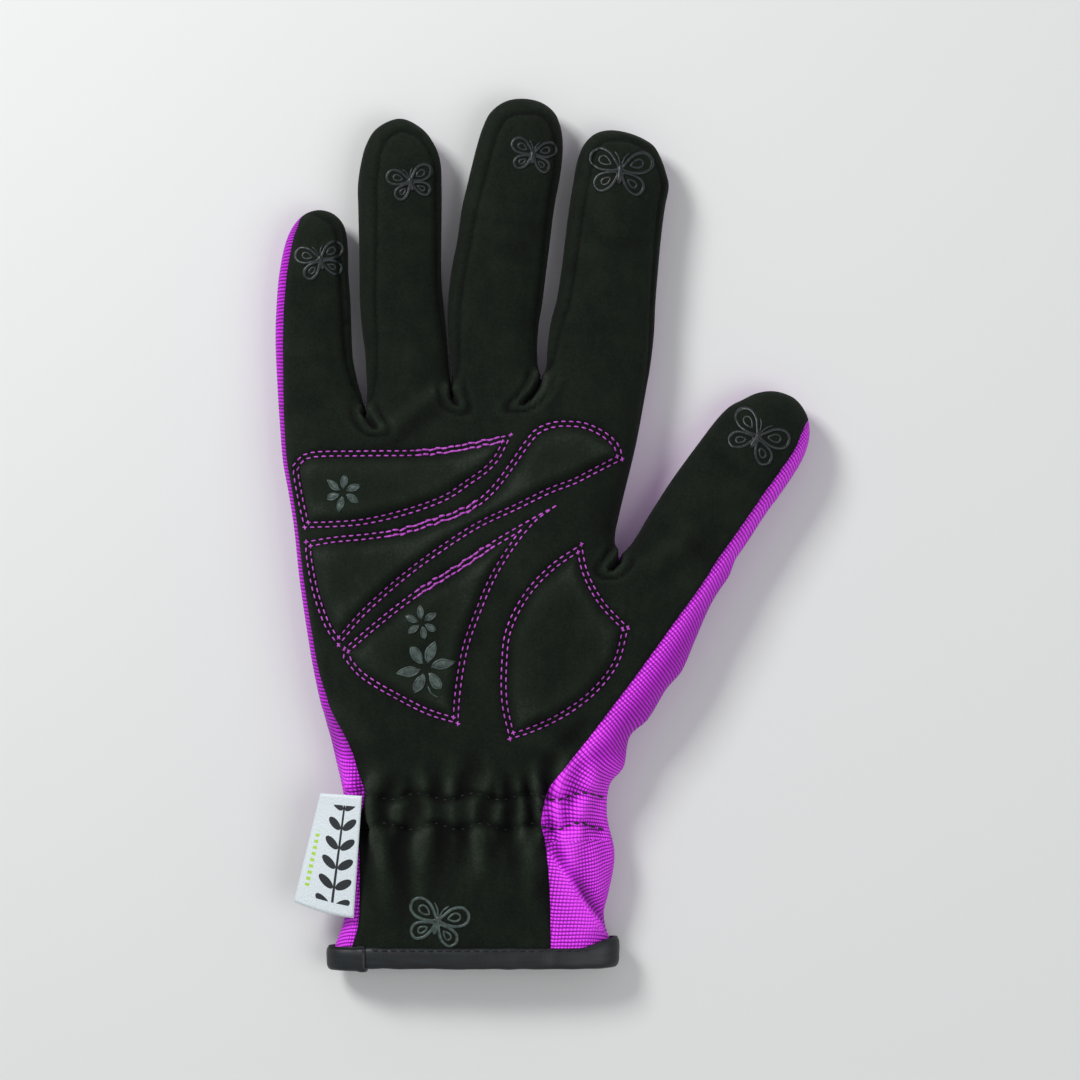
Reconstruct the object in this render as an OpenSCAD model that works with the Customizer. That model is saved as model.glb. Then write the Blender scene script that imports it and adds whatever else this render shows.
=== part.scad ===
// Right-hand gardening glove, lying on its back with the palm up.
// +Y runs to the fingertips, +X to the thumb side and +Z out of the palm. Millimetres.
// Every panel is a thin sheet over the glove's outline: its height above or below the side
// seam follows a quarter round that rises with the distance from the outline.

/* [Fabric] */
// Thickness of the suede and woven panels
fabric_t = 1.1; // [0.8:0.1:1.4]
// Gap left at each seam between two panels
seam_gap = 0.16; // [0.1:0.02:0.3]
// Half height of the gusset along a finger's side
gusset_half = 2.2; // [1.6:0.1:2.8]
// Distance that a panel's edge stays inside the outline
edge_inset = 0.3; // [0.2:0.05:0.5]
// Slit between two sections of a finger or of the thumb
crease_gap = 0.4; // [0.3:0.1:0.8]
// Distance from a finger's base to its first crease
root_run = 12; // [10:0.5:14]

/* [Pads] */
// Height of a quilted pad above the palm panel
pad_t = 2.4; // [1.2:0.1:3.5]
// Width of one row of stitching
stitch_w = 0.6; // [0.4:0.1:0.8]
// Distance between the two rows of stitching around a pad
stitch_pitch = 1.3; // [1.1:0.1:2]
// Height of a row of stitching
stitch_h = 0.45; // [0.3:0.05:0.6]
// Clearance of pads, stitching and grips over the panel under them
lift = 0.45; // [0.4:0.05:0.6]

/* [Grips] */
// Width of the line that a silicone grip is printed with
grip_w = 1.1; // [0.8:0.1:1.6]
// Height of a silicone grip
grip_h = 0.6; // [0.3:0.1:1]

/* [Cuff] */
// Y of the cuff's mouth, at the outer face of the binding
mouth_y = -120; // [-122:0.5:-118]
// Width of the binding around the mouth
binding_w = 6.4; // [5:0.2:9]
// Thickness of the binding
binding_t = 0.8; // [0.6:0.1:1.2]
// Width of the elastic inside the wrist
elastic_w = 8.4; // [6:0.2:12]
// Y of the middle of the elastic
elastic_y = -76; // [-80:1:-74]

/* [Label] */
// Thickness of the folded label
label_t = 0.8; // [0.5:0.1:1.2]
// Slope of the label, falling away from its seam, in degrees
label_slope = 10; // [5:1:20]

/* [Hidden] */

suede = [0.13, 0.14, 0.13];
weave = [0.78, 0.18, 0.85];
thread = [0.80, 0.35, 0.82];
satin = [0.06, 0.07, 0.07];
silicone = [0.04, 0.04, 0.05];
white = [0.88, 0.90, 0.92];

// Heights along the hand: [y, value]. Side seam, flat underside, rise of the palm, rim radius.
hand_seam = [[-120, 6.6], [-95, 7.2], [-76, 8], [-45, 9], [0, 9], [25, 8], [40, 7]];
hand_ground = [[-120, 1.75], [-108, 1.75], [-92, 0]];
hand_rise = [[-120, 6], [-95, 7.6], [-76, 9], [-45, 12], [0, 11.8], [25, 9.3], [38, 7.7]];
hand_rim = [[-120, 7], [-76, 9], [-45, 13], [0, 13], [25, 10.5], [38, 9]];
back_rim = 6.5;

// One finger: base centre, lean towards +X in degrees, length, distance to its second crease,
// start of the rounded tip, half widths [distance from base, left, right], side heights
// [distance from base, seam, rise], rim radius, gusset half height at the left and right.
finger_heights = [[0, 7, 7.7], [80, 7, 7.7]];
little = [[-61, 34.4], 0, 54.8, 34, 42,
    [[0, 11.9, 11.7], [11, 12.6, 9.1], [22, 12.9, 8.3], [34, 12.3, 7.7], [42, 11, 7.2]],
    finger_heights, 8, 0, gusset_half];
ring = [[-36.9, 40.3], -2.2, 74.2, 40, 58,
    [[0, 11.4, 11.2], [13, 12, 10.7], [23, 12.4, 10.4], [45, 12.2, 10.4], [58, 11.7, 11.2]],
    finger_heights, 9, gusset_half, gusset_half];
middle = [[-13, 44.7], 5.9, 75.7, 41, 60,
    [[0, 11.9, 11.7], [9, 13.7, 10.6], [26, 14.6, 10.9], [39, 13.8, 11.4], [60, 11.6, 12]],
    finger_heights, 9, gusset_half, gusset_half];
index = [[14.9, 42.6], 7, 68.7, 38, 52,
    [[0, 13.8, 13.8], [12, 14.2, 14.2], [28, 13.2, 13.3], [46, 13.3, 12.9], [52, 13.1, 13.2]],
    finger_heights, 9, gusset_half, gusset_half];
thumb = [[33.35, -13.8], 34.7, 63, 37, 46,
    [[0, 14.1, 14.1], [6, 13.8, 13.5], [25, 14.4, 12.2], [37, 14.2, 12], [46, 13.8, 12]],
    [[0, 9, 11.8], [20, 8.4, 9], [45, 8, 8]], 10, 0, 0];
tip_power = 2.3;

// Sides of the hand, from the cuff up: the little finger's side, and the thumb ball's side.
left_side = [[-59.5, -120], [-57, -112], [-54.6, -104], [-54.2, -92], [-54.2, -76], [-55.6, -66],
    [-58.5, -54], [-62.5, -40], [-65.8, -20], [-68.2, -2], [-71.2, 18], [-72.7, 34]];
right_side = [[22, -120], [18.4, -112], [17, -104], [19.6, -88], [17.8, -74], [22, -64],
    [26.4, -54], [33.6, -43], [40, -34], [44.8, -22]];
// Side of the hand between the thumb's crotch and the index finger.
index_side = [[21.5, -6], [20.4, -1], [22.2, 10], [25, 23], [28.6, 40.6]];
// The notches between two fingers' sections, in order from the little finger.
crotches = [[[-49.3, 34], [-48.8, 33.6], [-48.3, 39.5]],
    [[-25.7, 40.3], [-25, 39.8], [-24.9, 45.5]],
    [[-1.4, 43.1], [-0.3, 42.4], [1.1, 43.9]]];
rims = concat([left_side, right_side, index_side], crotches);
side_of_right = concat(right_side, index_side);

function mix(a, b, t) = a + (b - a) * t;
function limit(t) = min(max(t, 0), 1);
// Quarter round from 0 to 1.
function rise(t) = sqrt(1 - pow(1 - limit(t), 2));
function flat_y(points) = [for (p = points) [p.y, p.x]];

function segment_gap(p, a, b) =
    let (ab = b - a, t = limit(((p - a) * ab) / (ab * ab)))
    norm(p - a - ab * t);
function path_gap(p, path) = min([for (i = [1:len(path) - 1]) segment_gap(p, path[i - 1], path[i])]);
function hand_gap(p) = min([for (rim = rims) path_gap(p, rim)]);

// Uniform cubic through the points, t from 0 to 1.
function spline(points, t) =
    let (last = len(points) - 1, f = min(t, 0.9999) * last, i = floor(f), u = f - i,
        p0 = points[max(i - 1, 0)], p1 = points[i], p2 = points[i + 1], p3 = points[min(i + 2, last)])
    0.5 * (2 * p1 + (p2 - p0) * u + (2 * p0 - 5 * p1 + 4 * p2 - p3) * u * u
        + (3 * p1 - p0 - 3 * p2 + p3) * u * u * u);
function trace(points, n) = [for (i = [0:n]) spline(points, i / n)];

// A sheet between two grids of points, rows towards +Y and columns towards +X.
function grid_faces(rows, cols) =
    let (n = rows * cols)
    concat(
        [for (i = [0:rows - 2]) for (j = [0:cols - 2]) let (a = i * cols + j, b = a + cols)
            each [[a, b, b + 1], [a, b + 1, a + 1],
                [n + a, n + b + 1, n + b], [n + a, n + a + 1, n + b + 1]]],
        [for (i = [0:rows - 2]) let (a = i * cols, b = a + cols, c = b - 1, d = c + cols)
            each [[b, a, n + a], [b, n + a, n + b], [c, d, n + d], [c, n + d, n + c]]],
        [for (j = [0:cols - 2]) let (a = j, b = (rows - 1) * cols + j)
            each [[a, a + 1, n + a + 1], [a, n + a + 1, n + a],
                [b + 1, b, n + b], [b + 1, n + b, n + b + 1]]]);
module grid_solid(top, bottom) {
    polyhedron(
        points = [for (grid = [top, bottom]) for (row = grid) for (p = row) p],
        faces = grid_faces(len(top), len(top[0])), convexity = 8);
}

// A closed band: one ring of profile points per section, counter-clockwise seen from +Z.
module loop_solid(sections) {
    n = len(sections);
    k = len(sections[0]);
    faces = [for (i = [0:n - 1]) for (j = [0:k - 1])
        let (a = i * k + j, b = i * k + (j + 1) % k,
            c = ((i + 1) % n) * k + (j + 1) % k, d = ((i + 1) % n) * k + j)
        each [[a, b, c], [a, c, d]]];
    polyhedron(points = [for (ring = sections) for (p = ring) p], faces = faces, convexity = 8);
}

// Height of the hand's outer and inner faces over a point of the outline.
function palm_floor(y) = lookup(y, hand_seam) + seam_gap / 2;
function back_roof(y) = lookup(y, hand_seam) - seam_gap / 2;
function palm_outer(p) = palm_floor(p.y) + lookup(p.y, hand_rise) * rise(hand_gap(p) / lookup(p.y, hand_rim));
function palm_inner(p) = palm_floor(p.y) + (lookup(p.y, hand_rise) - fabric_t)
    * rise((hand_gap(p) - fabric_t) / (lookup(p.y, hand_rim) - fabric_t));
function back_drop(y) = back_roof(y) - lookup(y, hand_ground);
function back_outer(p) = back_roof(p.y) - back_drop(p.y) * rise(hand_gap(p) / back_rim);
function back_inner(p) = back_roof(p.y) - (back_drop(p.y) - fabric_t)
    * rise((hand_gap(p) - fabric_t) / (back_rim - fabric_t));

// The hand's grid. Columns end at the four finger bases, so each column has its own last y.
across = [0, 0.07, 0.2, 0.5, 0.8, 0.93, 1];
fingers = [little, ring, middle, index];
crease_ends = [[left_side[11].x, -49.3], [-48.3, -25.7], [-24.9, -1.4], [1.1, index_side[4].x]];
function crease_y(k, x) = fingers[k][0].y - crease_gap - (x - fingers[k][0].x) * tan(fingers[k][1]);
columns = [for (k = [0:3]) for (u = across)
    let (x = mix(crease_ends[k][0], crease_ends[k][1], u)) [x, crease_y(k, x)]];
column_last = len(columns) - 1;
hand_rows = [-118.4, -112, -104, -96, -88, -82, -76, -70, -62, -53, -45, -37, -29,
    -22, -20.4, -17.5, -14, -10.5, -7.6, -6, -1, 5, 12, 19, 26, 32, 37];
function side_x(side, y, dir) = lookup(y, flat_y(side)) + dir * edge_inset;
function hand_point(y_end, share, y_row) =
    let (first = hand_rows[0],
        y = mix(first, y_end, (y_row - first) / (columns[column_last].y - first)))
    [mix(side_x(left_side, y, 1), side_x(side_of_right, y, -1), share), y];
hand_grid = [for (y_row = concat(hand_rows, [columns[column_last].y]))
    [for (c = columns)
        let (left = columns[0].x, share = (c.x - left) / (columns[column_last].x - left))
        hand_point(c.y, share, y_row)]];

module hand_sheet(upper, lower) {
    grid_solid(
        [for (row = hand_grid) [for (p = row) [p.x, p.y, upper(p)]]],
        [for (row = hand_grid) [for (p = row) [p.x, p.y, lower(p)]]]);
}

// Finger frame: w to the right of its axis, s along it from the base.
function place(f, w, s, z) =
    [f[0].x + w * cos(f[1]) + s * sin(f[1]), f[0].y - w * sin(f[1]) + s * cos(f[1]), z];
function side_table(f, side) = [for (row = f[5]) [row[0], row[side]]];
function cap_share(f, s) =
    s <= f[4] ? 1 : pow(1 - pow(min((s - f[4]) / (f[2] - f[4]), 1), tip_power), 1 / tip_power);
function cap_centre(f) = (lookup(f[4], side_table(f, 2)) - lookup(f[4], side_table(f, 1))) / 2;
function side_w(f, side, s) =
    let (sign = side == 1 ? -1 : 1, w = sign * lookup(min(s, f[4]), side_table(f, side)))
    s <= f[4] ? w : cap_centre(f) + (w - cap_centre(f)) * cap_share(f, s);
function cap_stations(f, first, n) = concat(
    first < f[4] ? [for (i = [0:2]) mix(first, f[4], i / 3)] : [],
    [for (i = [0:n]) mix(f[4], f[2], sin(90 * i / n))]);
function finger_rim(f) =
    let (stations = cap_stations(f, 0, 8), last = len(stations) - 1)
    concat([for (s = stations) [side_w(f, 1, s), s]],
        [for (i = [1:last]) [side_w(f, 2, stations[last - i]), stations[last - i]]]);

function finger_seam(f, s) = lookup(s, [for (row = f[6]) [row[0], row[1]]]);
function finger_rise(f, s) = lookup(s, [for (row = f[6]) [row[0], row[2]]]);
function gusset_at(f, u) = mix(f[8], f[9], limit(3 * u - 1));
function strip_floor(f, s, u) = finger_seam(f, s) + gusset_at(f, u) + seam_gap / 2;
function strip_roof(f, s, u) = finger_seam(f, s) - gusset_at(f, u) - seam_gap / 2;
function strip_outer(f, rim, w, s, u) =
    strip_floor(f, s, u) + (finger_rise(f, s) - gusset_at(f, u)) * rise(path_gap([w, s], rim) / f[7]);
function strip_inner(f, rim, w, s, u) =
    strip_floor(f, s, u) + (finger_rise(f, s) - gusset_at(f, u) - fabric_t)
    * rise((path_gap([w, s], rim) - fabric_t) / (f[7] - fabric_t));
function strip_under(f, rim, w, s, u) =
    strip_roof(f, s, u) * (1 - rise(path_gap([w, s], rim) / back_rim));
function strip_over(f, rim, w, s, u) =
    strip_roof(f, s, u) - (strip_roof(f, s, u) - fabric_t)
    * rise((path_gap([w, s], rim) - fabric_t) / (back_rim - fabric_t));

strip_across = [0, 0.05, 0.15, 0.32, 0.5, 0.68, 0.85, 0.95, 1];
function root_stations(f) = [for (i = [0:2]) mix(0, root_run - crease_gap, i / 2)];
function lower_stations(f) = [for (i = [0:4]) mix(root_run, f[3] - crease_gap, i / 4)];
function tip_stations(f) =
    let (first = f[3], run = f[4] - first, cap = f[2] - 0.35 - f[4])
    concat([for (i = [0:2]) first + run * i / 3], [for (i = [0:5]) f[4] + cap * sin(18 * i)]);
function strip_grid(f, stations, height) =
    let (rim = finger_rim(f))
    [for (s = stations) [for (u = strip_across)
        let (w = mix(side_w(f, 1, s) + edge_inset, side_w(f, 2, s) - edge_inset, u))
        place(f, w, s, height(f, rim, w, s, u))]];
strip_top = function (f, rim, w, s, u) strip_outer(f, rim, w, s, u);
strip_top_inside = function (f, rim, w, s, u) strip_inner(f, rim, w, s, u);
strip_bottom_inside = function (f, rim, w, s, u) strip_over(f, rim, w, s, u);
strip_bottom = function (f, rim, w, s, u) strip_under(f, rim, w, s, u);

module palm_strip(f, stations) {
    color(suede) grid_solid(
        strip_grid(f, stations, strip_top),
        strip_grid(f, stations, strip_top_inside));
}
module back_strip(f, stations) {
    color(weave) grid_solid(
        strip_grid(f, stations, strip_bottom_inside),
        strip_grid(f, stations, strip_bottom));
}

// A gusset: an upright strip along a path of [w, s], with the finger's inside on its right.
module upright_strip(f, path) {
    last = len(path) - 1;
    inner = [for (i = [0:last])
        let (t = path[min(i + 1, last)] - path[max(i - 1, 0)], side = [t.y, -t.x] / norm(t))
        path[i] + side * fabric_t];
    function level(p, z) = place(f, p.x, p.y, finger_seam(f, p.y) + z);
    color(suede) grid_solid(
        [for (i = [0:last]) [level(path[i], gusset_half), level(inner[i], gusset_half)]],
        [for (i = [0:last]) [level(path[i], -gusset_half), level(inner[i], -gusset_half)]]);
}
function left_path(f, stations) = [for (s = stations) [side_w(f, 1, s), s]];
function right_path(f, stations) =
    let (last = len(stations) - 1)
    [for (i = [0:last]) [side_w(f, 2, stations[last - i]), stations[last - i]]];
module side_gussets(f, stations, left = true) {
    if (left) upright_strip(f, left_path(f, stations));
    upright_strip(f, right_path(f, stations));
}
module tip_gusset(f) {
    stations = cap_stations(f, f[3], 7);
    upright_strip(f, concat(left_path(f, stations),
        [for (i = [1:len(stations) - 1]) right_path(f, stations)[i]]));
}

// A raised line along a closed curve, draped on a surface given by height(point).
function closed_normal(path, i) =
    let (n = len(path), t = path[(i + 1) % n] - path[(i + n - 1) % n])
    [t.y, -t.x] / norm(t);
function widened(path, by) = [for (i = [0:len(path) - 1]) path[i] + closed_normal(path, i) * by];
module draped_line(path, width, low, high, height) {
    outer = widened(path, width / 2);
    inner = widened(path, -width / 2);
    loop_solid([for (i = [0:len(path) - 1])
        let (z = height(path[i]), a = outer[i], b = inner[i])
        [[a.x, a.y, z + low], [a.x, a.y, z + high], [b.x, b.y, z + high], [b.x, b.y, z + low]]]);
}
palm_height = function (p) palm_outer(p);

// Pads: the far edge and the near edge of each, both from the little finger's side.
root_edges = [
    [[-66.6, 19.4], [-58, 21.4], [-42, 21.6], [-26, 22.4], [-10.4, 25.8]],
    [[-64, 3.4], [-50, 3.8], [-34, 7.4], [-21, 13.6], [-10.6, 24.4]]];
diagonal_edges = [
    [[-63.4, -3.4], [-44, -0.8], [-25, 4.6], [-11, 14.8], [-0.6, 28], [12, 29], [20.2, 21.6]],
    [[-57, -28.6], [-48, -20.6], [-34, -8.6], [-20, 1], [-6, 8.4], [8, 14.6], [20, 20.2]]];
centre_edges = [
    [[-52.6, -31.6], [-44, -24.2], [-32, -15.4], [-18, -6.4], [-4, 2.2], [2, 5.6]],
    [[-52.4, -34], [-44, -40.6], [-24.6, -49.4], [-21.8, -33], [-13.4, -11.4], [2.2, 5.2]]];
thumb_edges = [
    [[-8.2, -53.6], [-10, -44], [-9, -27], [-3.8, -16.6], [4, -8.6], [9.8, -4.4]],
    [[-7.6, -54], [5.4, -48.6], [14.6, -41.6], [19.8, -33.6], [21.6, -26], [15, -17.6], [10.4, -4.6]]];

function pad_outline(edges) =
    let (far = trace(edges[0], 14), near = trace(edges[1], 14))
    concat([for (i = [0:14]) near[i]], [for (i = [0:14]) far[14 - i]]);
module pad(edges) {
    far = trace(edges[0], 12);
    near = trace(edges[1], 12);
    shares = [0, 0.12, 0.3, 0.5, 0.7, 0.88, 1];
    spots = [for (v = shares) [for (i = [0:12]) mix(near[i], far[i], v)]];
    function swell(v, u) = stitch_h + (pad_t - stitch_h) * rise(4 * v * (1 - v)) * rise(5 * u * (1 - u));
    color(suede) grid_solid(
        [for (r = [0:6]) [for (i = [0:12]) let (p = spots[r][i])
            [p.x, p.y, palm_outer(p) + lift + swell(shares[r], i / 12)]]],
        [for (r = [0:6]) [for (i = [0:12]) let (p = spots[r][i]) [p.x, p.y, palm_outer(p) + lift]]]);
}
module pad_rows(edges) {
    for (row = [0, 1])
        draped_line(widened(pad_outline(edges), 0.9 + row * stitch_pitch), stitch_w,
            lift + 0.4, lift + 0.4 + stitch_h, palm_height);
}

// Half of a butterfly's outline on a unit square, from its head down the right wings.
half_butterfly = [[0.05, 0.3], [0.32, 0.66], [0.74, 0.9], [1, 0.78], [0.9, 0.38], [0.52, 0.04],
    [0.72, -0.3], [0.6, -0.74], [0.28, -0.8], [0.06, -0.34]];
function butterfly(centre, width, turn) =
    let (right = half_butterfly, n = len(right),
        whole = concat([for (i = [0:n - 1]) [-right[i].x, right[i].y]],
            [for (i = [0:n - 1]) right[n - 1 - i]], [[-right[0].x, right[0].y]]))
    [for (i = [0:39]) let (p = spline(whole, i / 40) * width / 2)
        centre + [p.x * cos(turn) + p.y * sin(turn), p.y * cos(turn) - p.x * sin(turn)]];
function flower(centre, radius) =
    [for (i = [0:35]) centre + radius * (0.76 + 0.24 * cos(60 * i)) * [cos(10 * i), sin(10 * i)]];
// A grip on the hand, standing base above the palm panel.
module hand_grip(path, base) {
    draped_line(path, grip_w, base, base + grip_h, palm_height);
}
// A grip on a fingertip, drawn in the finger's own frame.
module finger_grip(f, s, width) {
    rim = finger_rim(f);
    path = butterfly([cap_centre(f), s], width, 0);
    outer = widened(path, grip_w / 2);
    inner = widened(path, -grip_w / 2);
    color(silicone) loop_solid([for (i = [0:len(path) - 1])
        let (z = strip_outer(f, rim, path[i].x, path[i].y, 0.5) + lift)
        [place(f, outer[i].x, outer[i].y, z), place(f, outer[i].x, outer[i].y, z + grip_h),
            place(f, inner[i].x, inner[i].y, z + grip_h), place(f, inner[i].x, inner[i].y, z)]]);
}

// The cuff's section in the XZ plane at its mouth, counter-clockwise seen from -Y.
mouth_row = mouth_y + 2;
mouth_shares = [for (i = [0:14]) 0.5 - 0.5 * cos(180 * i / 14)];
mouth_xs = [for (u = mouth_shares)
    mix(side_x(left_side, mouth_row, 0), side_x(side_of_right, mouth_row, 0), u)];
mouth_loop = concat(
    [for (x = mouth_xs) [x, back_outer([x, mouth_row])]],
    [for (i = [1:13]) [mouth_xs[14 - i], palm_outer([mouth_xs[14 - i], mouth_row])]]);
// The binding's slot runs from this far outside the panels to this far inside them; the leg inside is
// the shorter one, as the flared panels narrow above the mouth.
slot_out = 0.55;
slot_in = fabric_t + 0.7;
// A band around the mouth: profile points are [distance outwards, y].
module mouth_band(profile) {
    loop_solid([for (i = [0:len(mouth_loop) - 1])
        let (out = closed_normal(mouth_loop, i))
        [for (p = profile) [mouth_loop[i].x + out.x * p.x, p.y, mouth_loop[i].y + out.y * p.x]]]);
}

module palm_panel() {
    color(suede) hand_sheet(function (p) palm_outer(p), function (p) palm_inner(p));
}
module back_panel() {
    color(weave) hand_sheet(function (p) back_inner(p), function (p) back_outer(p));
}
module finger_root_pad() { pad(root_edges); }
module diagonal_pad() { pad(diagonal_edges); }
module palm_centre_pad() { pad(centre_edges); }
module thumb_ball_pad() { pad(thumb_edges); }
module pad_stitching() {
    color(thread) for (edges = [root_edges, diagonal_edges, centre_edges, thumb_edges]) pad_rows(edges);
}

// A strip across the hand at height(point) + low to height(point) + high.
module wrist_strip(y, width, inset, height, low, high) {
    spots = [for (yy = [y - width / 2, y + width / 2])
        let (left = side_x(left_side, yy, 1) + inset, right = side_x(side_of_right, yy, -1) - inset)
        [for (i = [0:20]) [mix(left, right, 0.5 - 0.5 * cos(9 * i)), yy]]];
    grid_solid(
        [for (row = spots) [for (p = row) [p.x, p.y, height(p) + high]]],
        [for (row = spots) [for (p = row) [p.x, p.y, height(p) + low]]]);
}
module root_palm_faces() {
    for (f = concat(fingers, [thumb])) palm_strip(f, root_stations(f));
}
module root_back_faces() {
    for (f = concat(fingers, [thumb])) back_strip(f, root_stations(f));
}
module root_gussets() {
    for (f = fingers) side_gussets(f, root_stations(f), left = f[8] > 0);
}
module wrist_elastic() {
    color(white) wrist_strip(elastic_y, elastic_w, 8, function (p) palm_inner(p), -1.7, -0.8);
}
module elastic_stitching() {
    color(satin) for (side = [-1, 1])
        wrist_strip(elastic_y + side * elastic_w / 2, stitch_w, 6, palm_height, lift, lift + stitch_h);
}
module cuff_binding() {
    top = mouth_y + binding_w;
    inner_top = mouth_y + 3.6;
    bottom = mouth_y + binding_t;
    color(satin) mouth_band([
        [slot_out + binding_t, top], [slot_out + binding_t, mouth_y],
        [-slot_in - binding_t, mouth_y], [-slot_in - binding_t, inner_top],
        [-slot_in, inner_top], [-slot_in, bottom], [slot_out, bottom], [slot_out, top]]);
}
module binding_stitching() {
    y = mouth_y + binding_w - 1;
    out = slot_out + binding_t + 0.05;
    color(satin) mouth_band([[out + 0.3, y], [out + 0.3, y - stitch_w], [out, y - stitch_w], [out, y]]);
}
module flower_grips() {
    color(silicone) {
        over_pad = lift + pad_t + 0.1;
        hand_grip(flower([-54.4, 11.3], 4.6), over_pad);
        hand_grip(flower([-32.9, -24.2], 4.2), over_pad);
        hand_grip(flower([-31.8, -36.9], 6.6), over_pad);
    }
}
module cuff_butterfly_grip() {
    color(silicone) hand_grip(butterfly([-28.8, -100], 15, 0), lift);
}

module little_lower_palm() { palm_strip(little, lower_stations(little)); }
module little_lower_back() { back_strip(little, lower_stations(little)); }
module little_lower_gusset() { side_gussets(little, lower_stations(little), left = false); }
module little_tip_palm() { palm_strip(little, tip_stations(little)); }
module little_tip_back() { back_strip(little, tip_stations(little)); }
// The little finger's gusset ends where the rounded tip turns away from the ring finger.
module little_tip_gusset() {
    path = right_path(little, cap_stations(little, little[3], 7));
    upright_strip(little, [for (i = [4:len(path) - 1]) path[i]]);
}
module little_butterfly_grip() { finger_grip(little, 41, 9.5); }

module ring_lower_palm() { palm_strip(ring, lower_stations(ring)); }
module ring_lower_back() { back_strip(ring, lower_stations(ring)); }
module ring_lower_gusset() { side_gussets(ring, lower_stations(ring)); }
module ring_tip_palm() { palm_strip(ring, tip_stations(ring)); }
module ring_tip_back() { back_strip(ring, tip_stations(ring)); }
module ring_tip_gusset() { tip_gusset(ring); }
module ring_butterfly_grip() { finger_grip(ring, 56.5, 11); }

module middle_lower_palm() { palm_strip(middle, lower_stations(middle)); }
module middle_lower_back() { back_strip(middle, lower_stations(middle)); }
module middle_lower_gusset() { side_gussets(middle, lower_stations(middle)); }
module middle_tip_palm() { palm_strip(middle, tip_stations(middle)); }
module middle_tip_back() { back_strip(middle, tip_stations(middle)); }
module middle_tip_gusset() { tip_gusset(middle); }
module middle_butterfly_grip() { finger_grip(middle, 60, 11); }

module index_lower_palm() { palm_strip(index, lower_stations(index)); }
module index_lower_back() { back_strip(index, lower_stations(index)); }
module index_lower_gusset() { side_gussets(index, lower_stations(index)); }
module index_tip_palm() { palm_strip(index, tip_stations(index)); }
module index_tip_back() { back_strip(index, tip_stations(index)); }
module index_tip_gusset() { tip_gusset(index); }
module index_butterfly_grip() { finger_grip(index, 55, 14); }

module thumb_lower_palm() { palm_strip(thumb, lower_stations(thumb)); }
module thumb_lower_back() { back_strip(thumb, lower_stations(thumb)); }
module thumb_tip_palm() { palm_strip(thumb, tip_stations(thumb)); }
module thumb_tip_back() { back_strip(thumb, tip_stations(thumb)); }
module thumb_butterfly_grip() { finger_grip(thumb, 47, 13); }

// The label hangs from its seam edge, given from the mouth's end up, and slopes outwards.
label_edge = [[-51.8, -105.3, 13.2], [-49.6, -71.9, 17]];
label_w = [17, 11.8];
module side_label() {
    along = label_edge[1] - label_edge[0];
    run = norm([along.x, along.y]);
    color(white) translate(label_edge[0]) rotate([0, 0, -atan2(along.x, along.y)])
        rotate([atan2(along.z, run), 0, 0]) rotate([0, -label_slope, 0])
        linear_extrude(label_t)
        polygon([[0, 0], [0, norm(along)], [-label_w[1], norm(along) + 0.4], [-label_w[0], 2.6], [-3, 0.2]]);
}

palm_panel();
back_panel();
finger_root_pad();
diagonal_pad();
palm_centre_pad();
thumb_ball_pad();
pad_stitching();
root_palm_faces();
root_back_faces();
root_gussets();
wrist_elastic();
elastic_stitching();
cuff_binding();
binding_stitching();
flower_grips();
cuff_butterfly_grip();
little_lower_palm();
little_lower_back();
little_lower_gusset();
little_tip_palm();
little_tip_back();
little_tip_gusset();
little_butterfly_grip();
ring_lower_palm();
ring_lower_back();
ring_lower_gusset();
ring_tip_palm();
ring_tip_back();
ring_tip_gusset();
ring_butterfly_grip();
middle_lower_palm();
middle_lower_back();
middle_lower_gusset();
middle_tip_palm();
middle_tip_back();
middle_tip_gusset();
middle_butterfly_grip();
index_lower_palm();
index_lower_back();
index_lower_gusset();
index_tip_palm();
index_tip_back();
index_tip_gusset();
index_butterfly_grip();
thumb_lower_palm();
thumb_lower_back();
thumb_tip_palm();
thumb_tip_back();
thumb_butterfly_grip();
side_label();
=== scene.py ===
"""A gardening glove lying palm up: black suede palm with quilted pads, purple woven back, silicone grips.

The glove's cloth is one soft shell, made of two height fields over the glove's outline that meet along it:
the front (palm side) and the back. The shell is cut along its seams and at its bending creases into separate
sheets of cloth, each with real thickness. Everything is worked out in millimetres and turned to metres last.
"""

import math
from collections import namedtuple

import bpy
import numpy as np
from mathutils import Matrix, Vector
from mathutils.bvhtree import BVHTree
from mathutils.geometry import delaunay_2d_cdt


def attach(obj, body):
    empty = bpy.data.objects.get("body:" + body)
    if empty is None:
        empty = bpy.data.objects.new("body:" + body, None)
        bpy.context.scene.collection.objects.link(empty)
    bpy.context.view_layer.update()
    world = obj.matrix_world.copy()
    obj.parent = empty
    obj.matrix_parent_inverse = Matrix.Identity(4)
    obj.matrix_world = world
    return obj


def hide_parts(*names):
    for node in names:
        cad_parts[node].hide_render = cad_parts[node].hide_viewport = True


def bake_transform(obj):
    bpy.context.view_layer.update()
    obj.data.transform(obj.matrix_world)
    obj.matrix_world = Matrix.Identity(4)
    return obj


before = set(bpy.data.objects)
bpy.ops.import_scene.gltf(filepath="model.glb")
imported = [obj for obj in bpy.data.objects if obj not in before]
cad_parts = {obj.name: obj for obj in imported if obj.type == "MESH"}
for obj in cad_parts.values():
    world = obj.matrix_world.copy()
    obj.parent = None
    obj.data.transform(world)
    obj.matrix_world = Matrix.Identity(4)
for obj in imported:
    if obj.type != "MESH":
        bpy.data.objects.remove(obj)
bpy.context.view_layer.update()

MM = 0.001
CLOTH = 0.9  # thickness of every cloth panel
STEP = 0.95  # from point to point along the drawn lines

# ------------------------------------------------------------------------------------------------
# Outline, seams and pads, in millimetres seen from above the palm
# ------------------------------------------------------------------------------------------------

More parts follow.
